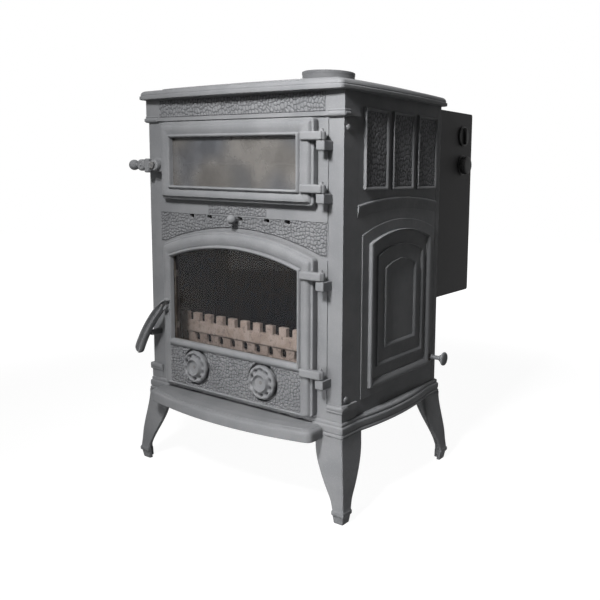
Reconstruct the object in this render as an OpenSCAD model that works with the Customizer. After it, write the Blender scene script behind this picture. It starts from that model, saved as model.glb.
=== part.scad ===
// A cast iron stove with a glazed oven door over a glazed fire door.
// Millimetres, +Z up. The origin is on the floor, midway between the four legs,
// under the middle of the cast body. The front faces -Y.

/* [Body] */
// Width of the cast body over its posts
body_w = 560; // [540:1:600]
// Depth of the cast body, front post face to back face
body_d = 380; // [360:1:430]
// Height of the textured band between the oven door's bead and the top plate
cap_h = 41; // [34:1:56]
// Thickness of the cast walls
wall_t = 8; // [7:0.5:10]
// Width of the smooth posts beside the doors
post_w = 36; // [32:1:38]
// Depth of the front casting's return along each side
corner_d = 46; // [40:1:56]
// How far the door seats stand out from the posts
seat_raise = 2; // [1:0.5:3]
// How far the capital band stands out
cap_proud = 4; // [2:0.5:6]

/* [Base and legs] */
// Height of the base's underside above the floor
leg_h = 170; // [140:1:200]
// Height of the moulded base
base_h = 32; // [28:1:40]
// How far the base stands out from the body
base_proud = 9; // [6:1:12]
// How far the base bows out at the middle of each side
side_bow = 13; // [6:1:18]
// Thickness of the base's floor
base_floor_t = 8; // [6:1:10]
// Width of a leg across each face at the knee
leg_w = 68; // [60:1:76]
// Width of a leg at the ankle
ankle_w = 28; // [22:1:34]
// How far the foot stands out from the body corner
leg_splay = 25; // [16:1:32]
// Width of the ash apron
apron_w = 480; // [440:2:500]
// How far the apron reaches out from the base at its middle
apron_d = 70; // [50:1:80]
// Bow of the apron's front edge
apron_bow = 30; // [15:1:40]
// Height of the apron's front face
apron_h = 25; // [20:1:30]

/* [Top plate and flue] */
// Thickness of the moulded edge of the top plate
plate_t = 20; // [16:1:26]
// Overhang of the top plate at the sides
plate_side = 10; // [6:1:16]
// Overhang of the top plate at the front
plate_front = 21; // [14:1:28]
// Overhang of the top plate at the back
plate_back = 14; // [12:1:24]
// Bow of the top plate's front and side edges
plate_bow = 10; // [4:1:16]
// Height of the raised field on the top plate
field_t = 7; // [4:1:10]
// Bore of the flue collar, for a stove pipe of this size
flue_d = 120; // [110:1:124]
// Wall of the flue collar
flue_wall = 5; // [4:0.5:6]
// Height of the flue collar above the raised field
flue_h = 57; // [40:1:80]
// Distance of the flue's axis from the back face of the body
flue_in = 66; // [65:1:90]

/* [Doors] */
// Distance of the doors' edges from the sides of the body
door_side = 60; // [56:1:62]
// Thickness of the door plate
door_t = 16; // [14:1:20]
// Height of each of the two steps of the door's rounded face
crown_t = 5; // [3:0.5:6]
// Gap between a closed door and its seat, bridged by the seal rope
door_gap = 2; // [1:0.5:4]
// Width of the doors' borders at the sides of the glass
stile_w = 38; // [36:1:46]
// Thickness of the door glass
glass_t = 4; // [3:0.5:5]
// Distance of the hinge axis from the door's edge
hinge_out = 23; // [20:1:26]
// Distance of the hinge axis in front of the post face
hinge_fwd = 21; // [20:1:24]
// Diameter of the hinge pins
pin_d = 7; // [6:0.5:8]

/* [Fire door] */
// Height of the fire door at the top of its arch
fire_door_h = 361; // [350:1:368]
// Height of the window sill above the door's lower edge
sill_h = 106; // [104:1:124]
// Width of the arched border above the window
arch_w = 36; // [30:1:40]
// Radius of the window's arch
arch_r = 598; // [560:1:700]
// Diameter of the two air dials
dial_d = 73; // [66:1:76]
// Half the distance between the two air dials
dial_x = 100; // [90:1:105]
// Distance of the dials' middle from the door's, towards the handle
dial_shift = 9; // [0:1:12]
// Height of the air dials above the door's lower edge
dial_h = 52; // [50:1:54]
// Length of the fire door's handle from its pivot
handle_len = 139; // [110:1:150]
// Width of the fire door's handle
handle_w = 28; // [22:1:32]

/* [Oven] */
// Height of the oven door
oven_door_h = 171; // [168:1:174]
// Height of the plain strip between the fire door's field and the oven door
strip_h = 31; // [28:1:36]
// Height of the oven's glass opening
oven_window_h = 105; // [96:1:108]
// Distance of the oven cavity's sides inside the edges of its door
oven_in = 30; // [28:1:33]
// Height of the oven cavity
oven_h = 132; // [124:1:134]
// Depth of the oven cavity behind the front wall
oven_d = 233; // [200:1:240]
// Distance of the latch ball from the latch pivot
latch_len = 72; // [60:1:80]
// Diameter of the latch ball
ball_d = 24; // [20:1:28]

/* [Fire chamber] */
// Height of the firebox floor above the underside of the base
hearth_h = 110; // [106:1:116]
// Thickness of the firebox liners
liner_t = 12; // [10:1:16]
// Height of the firebox liners
liner_h = 295; // [286:1:298]
// Height of the log retainer
fence_h = 77; // [60:1:90]
// Width of one tooth of the log retainer
tooth_w = 21; // [18:1:26]
// Width of the ash compartment
ash_w = 412; // [400:2:440]
// Travel of the shaker rod
shake_travel = 25; // [15:1:30]
// Diameter of the shaker rod
rod_d = 10; // [8:0.5:11]

/* [Rear box] */
// Width of the sheet-metal box behind the body
box_w = 524; // [480:2:540]
// Depth of the box
box_d = 198; // [180:1:220]
// Height of the box
box_h = 452; // [430:1:470]
// Distance of the box's top below the top plate
box_drop = 4; // [2:1:20]
// Thickness of its sheet
sheet_t = 2; // [1.5:0.5:3]
// Diameter of the two control knobs
knob_d = 50; // [44:1:54]

/* [Hidden] */
$fn = 64;

// Clearances: a moving piece beside another, a running fit, a loose screw hole
gap = 0.3;
run = 0.05;
slack = 0.2;

// Plan limits of the body
hw = body_w / 2;
door_w = body_w - 2 * door_side;
window_w = door_w - 2 * stile_w;
oven_w = door_w - 2 * oven_in;
yf = -body_d / 2;
yb = body_d / 2;
y_seam = yf + corner_d;
back_return = 17;
y_rear_seam = yb - back_return;
seat_y = yf - seat_raise;
field_hw = hw - post_w;

// Levels, from the floor up
z_base = leg_h;
z_floor = z_base + base_floor_t;
z_body = z_base + base_h;
z_hearth = z_base + hearth_h;

// Fire door: its arches share one centre on the middle line
z_fire = z_body + 3;
z_fire_top = z_fire + fire_door_h;
arch_cz = z_fire_top - arch_w - arch_r;
door_arch_r = arch_r + arch_w;
field_gap = 6;
z_vent = z_fire_top + 33;
z_sill = z_fire + sill_h;
sill_t = 15;
fire_window_w = window_w + 8;

// Oven door
z_oven = z_vent + strip_h;
z_oven_top = z_oven + oven_door_h;
z_window = z_oven + 31;
z_cavity = z_oven + 20;
cap_gap = 3;
z_bead = z_oven_top + cap_gap;
bead_h = 7;
bead_proud = cap_proud + 3;
strip_top = z_oven - 7;
z_top = z_bead + bead_h + cap_h;
z_plate = z_top + plate_t;
z_field = z_plate + field_t;

// Door layers, from the back face forwards
door_back = seat_y - door_gap;
door_front = door_back - door_t;
crown_y = door_front - crown_t;
bead_y = crown_y - crown_t;
crown_in = 8;
bead_in = 20;
door_r = 5;

// Hinges
hinge_x = door_w / 2 + hinge_out;
hinge_y = yf - hinge_fwd;
pin_r = pin_d / 2;
knuckle_r = pin_r + 3.5;
knuckle_h = 18;
lug_h = 18;
lug_left = 9;
lug_right = 11;
OVEN_LUGS = [z_oven + 7, z_oven + 108];
FIRE_LUGS = [z_fire + 65, z_fire + 262];
pin_above = 4;
pin_root = 12;

// Fittings on the doors
oven_pivot = [-door_w / 2 - 10, z_oven + 75];
fire_pivot = [-door_w / 2 + 18, z_fire + 183];
handle_tilt = 36;
latch_t = 12;
handle_t = 14;

// Boxes inside
ash_wall = 6;
ash_hw = ash_w / 2;
z_ash = z_fire + 11;
fire_open_z = z_fire + 11;
fire_open_hw = window_w / 2 + 14;
fire_open_r = arch_r + 11;
liner_x = hw - wall_t - 10;
liner_back = yb - wall_t - 11;
liner_front = yf + wall_t + 13;
oven_wall = 5;

// Shaker
rod_y = yb - 34;
rod_r = rod_d / 2;
floor_t = 8;
rod_z = z_hearth - floor_t - 7;
grate_t = 10;
grate_hw = 112;
grate_front = yf + 84;
grate_back = rod_y - 39;
lug_x = 80;
lug_w = 20;

// Rear box
box_hw = box_w / 2;
box_y = yb + box_d;
z_box_top = z_top - box_drop;
z_box = z_box_top - box_h;
knob_y = box_y - 51;
thermostat_z = z_box_top - 57;
speed_z = thermostat_z - 72;
shaft_r = 3;
wheel_r = 60;
wheel_w = 50;
blower_y = yb + box_d / 2;
blower_z = z_box + 124;

// Colours
iron = [0.36, 0.37, 0.38];
dark_iron = [0.2, 0.2, 0.2];
rust_iron = [0.44, 0.38, 0.34];
steel = [0.6, 0.6, 0.62];
sheet = [0.13, 0.13, 0.13];
rope = [0.75, 0.73, 0.68];
pane = [0.2, 0.22, 0.24, 0.5];
plastic = [0.06, 0.06, 0.06];

// A plan or face outline with four round corners
module rounded(x0, y0, x1, y1, r) {
    translate([x0 + r, y0]) square([x1 - x0 - 2 * r, y1 - y0]);
    translate([x0, y0 + r]) square([x1 - x0, y1 - y0 - 2 * r]);
    for (x = [x0 + r, x1 - r], y = [y0 + r, y1 - r]) translate([x, y]) circle(r);
}

// A square given by two corners
module span(x0, y0, x1, y1) translate([x0, y0]) square([x1 - x0, y1 - y0]);

// A block given by two corners
module block(a, b) translate(a) cube(b - a);

// Extrudes an outline drawn in X and Z from y0 to y1
module along_y(y0, y1) translate([0, y1, 0]) rotate([90, 0, 0]) linear_extrude(y1 - y0) children();

// Extrudes an outline drawn in Y and Z from x0 to x1
module along_x(x0, x1) translate([x0, 0, 0]) rotate([90, 0, 90]) linear_extrude(x1 - x0) children();

// A round bar along each axis
module bar_x(x0, x1, y, z, r) translate([x0, y, z]) rotate([0, 90, 0]) cylinder(r = r, h = x1 - x0);
module bar_y(y0, y1, x, z, r) translate([x, y1, z]) rotate([90, 0, 0]) cylinder(r = r, h = y1 - y0);
module bar_z(z0, z1, x, y, r) translate([x, y, z0]) cylinder(r = r, h = z1 - z0);

// A ball turned from half a disc
module ball(r) rotate_extrude() intersection() {
    circle(r);
    span(0, -r - 1, r + 1, r + 1);
}

// A door-shaped outline: straight sides under an arch of radius r about the shared centre
module arched(w, z0, r) {
    intersection() {
        span(-w / 2, z0, w / 2, arch_cz + r + 1);
        translate([0, arch_cz]) circle(r, $fn = 360);
    }
}

// A C-shaped band round the front casting, open at the back
module wrap(z0, z1, proud) {
    translate([0, 0, z0]) linear_extrude(z1 - z0) difference() {
        span(-hw - proud, yf - proud, hw + proud, y_seam);
        span(-hw + wall_t, yf + wall_t, hw - wall_t, y_seam + 1);
    }
}

// The same band on the posts alone
module post_wrap(z0, z1, proud) {
    difference() {
        wrap(z0, z1, proud);
        block([-field_hw, yf - proud - 1, z0 - 1], [field_hw, yf, z1 + 1]);
    }
}

// A shallow arc bulging towards +X from a chord on the Y axis
module bulge(half, rise) {
    r = (half * half + rise * rise) / (2 * rise);
    intersection() {
        translate([rise - r, 0]) circle(r, $fn = 360);
        span(-2, -half - 3, rise + 1, half + 3);
    }
}

// Base

module base_outline(inset) {
    bx = hw + base_proud - inset;
    by = -yf + base_proud - inset;
    rounded(-bx, -by, bx, by, 4);
    for (s = [0, 180]) rotate(s) translate([bx, 0]) bulge(by - 60, side_bow);
}

module base_plate() {
    step = 9;
    rim = wall_t;
    color(iron) difference() {
        union() {
            translate([0, 0, z_base]) linear_extrude(base_h - step) base_outline(0);
            translate([0, 0, z_body - step]) linear_extrude(step) base_outline(3);
        }
        block([-hw + rim, yf + rim, z_floor], [hw - rim, yb - rim, z_body + 1]);
        for (sx = [-1, 1], sy = [-1, 1]) leg_bolt_hole(sx, sy, z_base - 1, z_floor + 1);
    }
}

// Rows of a leg's outline: share of its height, outward kick, width
function leg_rows() = [
    [0, 0.84 * leg_splay, 0.82 * ankle_w],
    [0.11, 0.96 * leg_splay, 0.96 * ankle_w],
    [0.12, 1.08 * leg_splay, 1.1 * ankle_w],
    [0.16, 1.08 * leg_splay, 1.1 * ankle_w],
    [0.17, leg_splay, ankle_w],
    [0.28, 0.92 * leg_splay, 0.8 * ankle_w + 0.15 * leg_w],
    [0.41, 0.85 * leg_splay, 0.35 * ankle_w + 0.5 * leg_w],
    [0.49, 0.78 * leg_splay, 0.2 * ankle_w + 0.66 * leg_w],
    [0.59, 0.68 * leg_splay, 0.85 * leg_w],
    [0.7, 0.56 * leg_splay, 0.95 * leg_w],
    [0.82, 0.44 * leg_splay, leg_w],
    [0.95, base_proud, leg_w],
    [1, base_proud, leg_w]];

// One face of a leg: distance from the body corner against height
function leg_face() = concat(
    [for (r = leg_rows()) [r[1], r[0] * leg_h]],
    [for (i = [len(leg_rows()) - 1 : -1 : 0])
        [leg_rows()[i][1] - leg_rows()[i][2], leg_rows()[i][0] * leg_h]]);

leg_bolt_in = 34;
module leg_bolt_hole(sx, sy, z0, z1) {
    bar_z(z0, z1, sx * (hw - leg_bolt_in), sy * (yb - leg_bolt_in), 5 + slack);
}

// A leg is the meeting of its two face outlines, each run through the other
module leg(sx, sy) {
    color(iron) difference() {
        intersection() {
            along_y(-1.5 * yb, 1.5 * yb) polygon([for (p = leg_face()) [sx * (hw + p[0]), p[1]]]);
            along_x(-1.5 * hw, 1.5 * hw) polygon([for (p = leg_face()) [sy * (yb + p[0]), p[1]]]);
            block([min(0, sx * 2 * hw), min(0, sy * 2 * yb), 0],
                [max(0, sx * 2 * hw), max(0, sy * 2 * yb), leg_h]);
        }
        leg_bolt_hole(sx, sy, leg_h - 34, leg_h + 1);
    }
}
module leg_front_left() leg(-1, -1);
module leg_front_right() leg(1, -1);
module leg_rear_left() leg(-1, 1);
module leg_rear_right() leg(1, 1);

module leg_bolts() {
    color(steel) for (sx = [-1, 1], sy = [-1, 1])
        translate([sx * (hw - leg_bolt_in), sy * (yb - leg_bolt_in), 0]) {
            translate([0, 0, z_floor]) cylinder(r = 8.5, h = 6, $fn = 6);
            translate([0, 0, leg_h - 30]) cylinder(r = 5, h = 30 + base_floor_t);
        }
}

// The apron's plan: straight back, round front corners, bowed front edge
module apron_plan(inset, back) {
    half = apron_w / 2 - inset;
    bow_r = (half * half + apron_bow * apron_bow) / (2 * apron_bow);
    front = yf - base_proud - apron_d + inset;
    intersection() {
        rounded(-half, front - 20, half, back + 20, 20);
        translate([0, front + bow_r]) circle(bow_r, $fn = 360);
        span(-half, front - 1, half, back);
    }
}
module ash_apron() {
    z0 = z_base - 6;
    back = yf - base_proud;
    lip = 8;
    color(iron) difference() {
        union() {
            translate([0, 0, z0]) linear_extrude(apron_h) apron_plan(0, back);
            translate([0, 0, z0 + apron_h]) linear_extrude(3) apron_plan(24, back);
        }
        translate([0, 0, z0 - 1]) linear_extrude(apron_h - lip + 1) apron_plan(lip, back - lip);
    }
}

// Body castings

VENTS = [-140, -84, 84, 140];
slider_travel = 12;
stem_r = 3;
slot_half = slider_travel + stem_r + 0.5;

module front_openings() {
    along_y(yf - 20, yf + wall_t + 1) {
        span(-oven_w / 2, z_cavity, oven_w / 2, z_cavity + oven_h);
        arched(2 * fire_open_hw, fire_open_z, fire_open_r);
        for (x = VENTS) rounded(x - 8, z_vent - 9, x + 8, z_vent - 1, 3.9);
        rounded(-slot_half, z_vent - 9, slot_half, z_vent - 1.5, 3.7);
    }
}

// Levels of the bolts on the sides of the front casting
BOLT_Z = [z_fire + 41, z_bead - 22];

module front_frame() {
    neck_h = 19;
    foot_bead_h = 14;
    recess_z = z_bead + bead_h + 3;
    rib = 4;
    color(iron) difference() {
        union() {
            wrap(z_body, z_top, 0);
            post_wrap(z_body, z_body + neck_h, 3);
            post_wrap(z_body + neck_h, z_body + neck_h + foot_bead_h, 6);
            wrap(z_bead, z_bead + bead_h, bead_proud);
            wrap(z_bead + bead_h, z_top, cap_proud);
            along_y(seat_y, yf) {
                rounded(-field_hw, strip_top, field_hw, z_bead, 5);
                arched(2 * field_hw, z_body, door_arch_r + field_gap);
            }
            along_y(yf - 1.5, yf) span(-field_hw, z_fire_top - 34, field_hw, z_vent);
            along_y(yf - 3, yf) span(-field_hw, z_vent, field_hw, strip_top);
            // Two hooked ribs behind the wall carry the air slider
            for (s = [-1, 1]) {
                edge = z_vent - 5.25 + s * (10 + gap);
                block([-180, yf + wall_t, min(edge, edge + s * rib)],
                    [180, yf + wall_t + 8, max(edge, edge + s * rib)]);
                block([-180, yf + wall_t + 5, min(edge - s * 3, edge + s * rib)],
                    [180, yf + wall_t + 8, max(edge - s * 3, edge + s * rib)]);
            }
        }
        front_openings();
        along_y(yf - cap_proud - 1, yf - cap_proud + 2)
            rounded(-field_hw + 10, recess_z, field_hw - 10, z_top - 7, 3);
        for (s = [-1, 1], z = BOLT_Z)
            bar_x(s * hw - wall_t - 1, s * hw + wall_t + 1, yf + 13, z, 3 + slack);
    }
}

// Side casting relief, drawn in Y and Z about the relief's own middle line
relief_front = 20;
relief_rear = 7;
relief_w = y_rear_seam - y_seam - relief_front - relief_rear;
relief_y = y_seam + relief_front + relief_w / 2;

module arch_head(half, z0, z_spring, rise) {
    r = (half * half + rise * rise) / (2 * rise);
    translate([relief_y, 0]) intersection() {
        translate([0, z_spring + rise - r]) circle(r, $fn = 180);
        span(-half, z0, half, z_spring + rise + 1);
    }
}

// A frame of width w in the arch-headed outline
module arch_frame(half, z0, z_spring, rise, w) {
    difference() {
        arch_head(half, z0, z_spring, rise);
        arch_head(half - w, z0 + w, z_spring, rise - w * 0.1);
    }
}

// Rows of the nested frames: half width, foot, spring, rise, frame width, height of relief
function frame_rows() = [
    [relief_w / 2 + 2, z_fire + 27, z_fire_top + 6, 28, relief_w / 2 + 2, 2],
    [relief_w / 2 - 21, z_fire + 45, z_fire_top - 12, 24, 17, 9],
    [relief_w / 2 - 51, z_fire + 85, z_fire_top - 40, 20, 9, 6],
    [relief_w / 2 - 81, z_fire + 121, z_fire_top - 68, 16, 9, 6]];

module side_relief(x0, s) {
    between = 17;
    panel_w = (relief_w - 2 * between) / 3;
    panel_pitch = panel_w + between;
    panel_z = z_cavity + 12;
    panel_top = z_top - 27;
    step = 6;
    brow_r = 900;
    brow_h = 26;
    brow_z = z_vent + 48;
    // x0 is the outer face; s is the side
    module out(h) along_x(min(x0, x0 + s * h), max(x0, x0 + s * h)) children();
    for (i = [-1, 0, 1]) {
        y = relief_y + i * panel_pitch;
        out(3) rounded(y - panel_w / 2, panel_z, y + panel_w / 2, panel_top, 2);
        out(6) rounded(y - panel_w / 2 + step, panel_z + step, y + panel_w / 2 - step, panel_top - step, 2);
    }
    out(4) intersection() {
        span(y_seam, brow_z - 45, y_rear_seam, brow_z + 5);
        translate([relief_y - 4, brow_z - brow_r]) difference() {
            circle(brow_r, $fn = 360);
            circle(brow_r - brow_h, $fn = 360);
        }
    }
    for (r = frame_rows())
        out(r[5]) if (r[4] == r[0]) arch_head(r[0], r[1], r[2], r[3]);
            else arch_frame(r[0], r[1], r[2], r[3], r[4]);
}

module side_panel(s) {
    x0 = s * hw;
    color(iron) difference() {
        union() {
            block([min(x0, x0 - s * wall_t), y_seam, z_body], [max(x0, x0 - s * wall_t), y_rear_seam, z_top]);
            side_relief(x0, s);
        }
        if (s > 0) bar_x(hw - wall_t - 1, hw + 12, rod_y, rod_z, rod_r + 3 + slack);
    }
}
module side_panel_left() side_panel(-1);
module side_panel_right() side_panel(1);

module back_panel() {
    port_z = z_vent + 1;
    color(iron) difference() {
        union() {
            block([-hw, yb - wall_t, z_body], [hw, yb, z_top]);
            for (s = [-1, 1])
                block([min(s * hw, s * (hw - wall_t)), y_rear_seam, z_body],
                    [max(s * hw, s * (hw - wall_t)), yb, z_top]);
        }
        along_y(yb - wall_t - 1, yb + 1) rounded(-80, port_z, 80, port_z + 50, 6);
    }
}

module corner_bolts() {
    color(iron) for (s = [-1, 1], z = BOLT_Z)
        translate([s * hw, yf + 13, z]) rotate([0, s * 90, 0]) {
            translate([0, 0, -wall_t]) cylinder(r = 3, h = wall_t);
            rotate_extrude() intersection() {
                translate([0, -6]) circle(10);
                square([6, 4]);
            }
        }
}

module tie_rods() {
    inset = wall_t + 6;
    color(steel) for (sx = [-1, 1], sy = [-1, 1])
        translate([sx * (hw - inset), sy * (yb - inset), 0]) difference() {
            union() {
                translate([0, 0, z_floor]) cylinder(r = 4, h = z_top - z_floor);
                translate([0, 0, z_floor]) cylinder(r = 5.5, h = 6, $fn = 6);
                translate([0, 0, z_top - 6]) cylinder(r = 5.5, h = 6, $fn = 6);
            }
        }
}

// Top

module plate_outline(inset) {
    px = hw + plate_side - inset;
    front = yf - plate_front + inset;
    back = yb + plate_back - inset;
    rounded(-px, front, px, back, 7);
    translate([0, front]) rotate(-90) bulge(px - 12, plate_bow);
    for (s = [0, 180]) translate([0, (front + back) / 2]) rotate(s)
        translate([px, 0]) bulge((back - front) / 2 - 12, plate_bow);
}
flue_y = yb - flue_in;
flue_r = flue_d / 2;
collar_r = flue_r + flue_wall;
ear_x = collar_r + 15;

module top_plate() {
    color(iron) difference() {
        union() {
            translate([0, 0, z_top]) linear_extrude(0.25 * plate_t) plate_outline(2);
            translate([0, 0, z_top + 0.25 * plate_t]) linear_extrude(0.4 * plate_t) plate_outline(0);
            translate([0, 0, z_top + 0.65 * plate_t]) linear_extrude(0.35 * plate_t) plate_outline(4);
            translate([0, 0, z_plate]) linear_extrude(field_t)
                rounded(-hw + 26, yf + 1, hw - 26, yb + 2, 6);
        }
        bar_z(z_top - 1, z_field + 1, 0, flue_y, flue_r - 6);
        for (s = [-1, 1]) bar_z(z_field - 12, z_field + 1, s * ear_x, flue_y, 3 + slack);
    }
}

module flue_collar() {
    ear_t = 8;
    color(iron) difference() {
        union() {
            bar_z(z_field, z_field + flue_h, 0, flue_y, collar_r);
            translate([0, flue_y, z_field]) linear_extrude(ear_t) {
                square([2 * ear_x, 26], center = true);
                for (s = [-1, 1]) translate([s * ear_x, 0]) circle(13);
            }
        }
        bar_z(z_field - 1, z_field + flue_h + 1, 0, flue_y, flue_r);
        for (s = [-1, 1]) bar_z(z_field - 1, z_field + ear_t + 1, s * ear_x, flue_y, 3 + slack);
    }
}

module collar_bolts() {
    color(steel) for (s = [-1, 1]) translate([s * ear_x, flue_y, z_field]) {
        translate([0, 0, -11]) cylinder(r = 3, h = 11 + 8);
        translate([0, 0, 8]) cylinder(r = 6, h = 5, $fn = 6);
    }
}

// Fire chamber and ash compartment

module ash_box() {
    back = liner_back;
    front = yf + wall_t;
    color(dark_iron) difference() {
        union() {
            for (s = [-1, 1]) block([min(s * ash_hw, s * (ash_hw - ash_wall)), front + 8, z_floor],
                [max(s * ash_hw, s * (ash_hw - ash_wall)), back, z_hearth - floor_t]);
            block([-ash_hw, back - ash_wall, z_floor], [ash_hw, back, z_hearth - floor_t]);
            block([-ash_hw, front, z_ash - 5], [ash_hw, back, z_ash]);
        }
        bar_x(ash_hw - ash_wall - 1, ash_hw + 1, rod_y, rod_z, rod_r + 1);
    }
}

module ash_pan() {
    t = 1.5;
    half = ash_hw - ash_wall - 8;
    front = yf + wall_t + 14;
    back = liner_back - ash_wall - 6;
    top = z_ash + 36;
    color(steel) {
        difference() {
            block([-half, front, z_ash], [half, back, top]);
            block([-half + t, front + t, z_ash + t], [half - t, back - t, top + 1]);
        }
        along_x(-45, 45) difference() {
            span(front - 12, z_ash + 18, front, z_ash + 21);
            span(front - 9, z_ash + 20, front - 3, z_ash + 22);
        }
    }
}

module firebox_floor() {
    under = z_hearth - floor_t;
    color(dark_iron) difference() {
        block([-liner_x, liner_front - 5, under], [liner_x, liner_back, z_hearth]);
        block([-grate_hw + 12, grate_front + 12, under - 1], [grate_hw - 12, grate_back - 12, z_hearth + 1]);
        block([lug_x - lug_w / 2 - 6, rod_y - 20, under - 1],
            [lug_x + lug_w / 2 + shake_travel + 6, rod_y - 2, z_hearth + 1]);
    }
}

module grate() {
    z0 = z_hearth + gap;
    slots = 8;
    pitch = (2 * grate_hw - 24) / slots;
    color(dark_iron) {
        difference() {
            block([-grate_hw, grate_front, z0], [grate_hw, grate_back, z0 + grate_t]);
            for (i = [0 : slots - 1]) {
                x = -grate_hw + 12 + (i + 0.5) * pitch;
                block([x - 5, grate_front + 14, z0 - 1], [x + 5, grate_back - 14, z0 + grate_t + 1]);
            }
        }
        difference() {
            union() {
                block([lug_x - lug_w / 2, grate_back - 1, z0], [lug_x + lug_w / 2, rod_y - 5, z0 + grate_t]);
                block([lug_x - lug_w / 2, rod_y - 17, rod_z - 8], [lug_x + lug_w / 2, rod_y - 5, z0 + 1]);
                block([lug_x - lug_w / 2, rod_y - 6, rod_z - 8],
                    [lug_x + lug_w / 2, rod_y + 8, z_hearth - floor_t - gap]);
            }
            bar_x(lug_x - lug_w, lug_x + lug_w, rod_y, rod_z, rod_r);
        }
    }
}

module shaker_rod() {
    out = hw + 32;
    color(iron) {
        bar_x(lug_x - lug_w / 2, out, rod_y, rod_z, rod_r);
        translate([out, rod_y, rod_z]) rotate([0, 90, 0]) {
            cylinder(r = rod_r + 3, h = 4);
            translate([0, 0, 4]) cylinder(r = 13, h = 2);
            translate([0, 0, 6]) cylinder(r = 16, h = 6);
            translate([0, 0, 12]) cylinder(r = 13, h = 2);
        }
    }
}

module shaker_bush() {
    color(steel) difference() {
        union() {
            bar_x(hw - wall_t, hw + 2, rod_y, rod_z, rod_r + 3);
            bar_x(hw + 2, hw + 5, rod_y, rod_z, rod_r + 5);
        }
        bar_x(hw - wall_t - 1, hw + 6, rod_y, rod_z, rod_r + run);
    }
}

// A liner plate with shallow upright ribs on its hot face
module liner_left() liner_side(-1);
module liner_right() liner_side(1);
module liner_side(s) {
    outer = s * liner_x;
    inner = s * (liner_x - liner_t);
    color(dark_iron) {
        block([min(outer, inner), liner_front, z_hearth],
            [max(outer, inner), liner_back, z_hearth + liner_h]);
        for (i = [0 : 6]) {
            y = liner_front + 25 + i * 42;
            block([min(inner, inner - s * 3), y, z_hearth + 12],
                [max(inner, inner - s * 3), y + 12, z_hearth + liner_h - 12]);
        }
    }
}
module liner_rear() {
    half = liner_x - liner_t;
    face = liner_back - liner_t;
    color(dark_iron) {
        block([-half, face, z_hearth], [half, liner_back, z_hearth + liner_h]);
        for (i = [-5 : 5])
            block([i * 42 - 6, face - 3, z_hearth + 12], [i * 42 + 6, face, z_hearth + liner_h - 12]);
    }
}

module log_retainer() {
    y0 = yf + 58;
    t = 8;
    teeth = 6;
    ledge = 3;
    z_ledge = z_hearth + 0.4 * fence_h;
    body_top = z_hearth + 0.74 * fence_h;
    half = liner_x - liner_t - 7;
    pitch = (half - tooth_w / 2) / teeth;
    color(rust_iron) {
        along_y(y0 - ledge, y0 + t) {
            span(-half, z_ledge, half, body_top);
            for (i = [-teeth : teeth])
                span(i * pitch - tooth_w / 2, body_top - 1, i * pitch + tooth_w / 2, z_hearth + fence_h);
        }
        along_y(y0, y0 + t) difference() {
            span(-half, z_hearth, half, z_ledge + 1);
            for (i = [-teeth : teeth])
                rounded(i * pitch - 8, z_hearth + 6, i * pitch + 8, z_ledge - 2, 7.9);
        }
        block([-half, y0 + t, z_hearth], [half, y0 + t + 16, z_hearth + 5]);
    }
}

module baffle_plate() {
    z0 = z_hearth + liner_h;
    color(dark_iron) block([-liner_x, yf + 96, z0], [liner_x, liner_back, z0 + 6]);
}

// Oven

module oven_box() {
    front = yf + wall_t;
    back = front + oven_d;
    half = oven_w / 2;
    top = z_cavity + oven_h;
    color(dark_iron) {
        difference() {
            union() {
                block([-half - oven_wall, front, z_cavity - oven_wall],
                    [half + oven_wall, back + oven_wall, top + oven_wall]);
                block([-half - 18, front, z_cavity - 18], [half + 18, front + 4, top + 18]);
            }
            block([-half, front - 1, z_cavity], [half, back, top]);
        }
        for (s = [-1, 1]) block([min(s * half, s * (half - 7)), front + 12, z_cavity + oven_h / 2 - 12],
            [max(s * half, s * (half - 7)), back, z_cavity + oven_h / 2 - 8]);
    }
}

module oven_shelf() {
    half = oven_w / 2 - 1;
    y0 = yf + wall_t + 16;
    y1 = yf + wall_t + oven_d - 6;
    r = 3;
    z0 = z_cavity + oven_h / 2 - 8 + r;
    wires = 8;
    pitch = (half - 13) / wires;
    color(steel) {
        for (y = [y0 + r, y1 - r]) bar_x(-half, half, y, z0, r);
        for (i = [-wires : wires]) bar_y(y0 + r, y1 - r, i * pitch, z0, 2);
    }
}

// Hinges

// A bracket on the post; its top carries the door's knuckle
module hinge_brackets(lugs) {
    front = hinge_y - knuckle_r;
    color(iron) for (z = lugs) difference() {
        union() {
            translate([0, 0, z]) linear_extrude(lug_h)
                rounded(hinge_x - lug_left, front, hinge_x + lug_right, seat_y, 2);
            block([field_hw, seat_y - 3, z], [hinge_x + lug_right, yf, z + lug_h]);
        }
        bar_z(z + lug_h - pin_root, z + lug_h + 1, hinge_x, hinge_y, pin_r);
    }
}
module oven_hinge_brackets() hinge_brackets(OVEN_LUGS);
module fire_hinge_brackets() hinge_brackets(FIRE_LUGS);

module hinge_pins(lugs) {
    color(steel) for (z = lugs)
        bar_z(z + lug_h - pin_root, z + lug_h + knuckle_h + pin_above, hinge_x, hinge_y, pin_r);
}
module oven_hinge_pins() hinge_pins(OVEN_LUGS);
module fire_hinge_pins() hinge_pins(FIRE_LUGS);

// The knuckles cast on a door's edge, one over each bracket
module knuckles(lugs) {
    for (z = lugs) translate([0, 0, z + lug_h + gap]) linear_extrude(knuckle_h - gap)
        rounded(door_w / 2 - 16, hinge_y - knuckle_r, hinge_x + lug_right, hinge_y + knuckle_r, 2);
}
module knuckle_bores(lugs) {
    for (z = lugs) bar_z(z + lug_h - 1, z + lug_h + knuckle_h + 1, hinge_x, hinge_y, pin_r + run);
}

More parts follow.
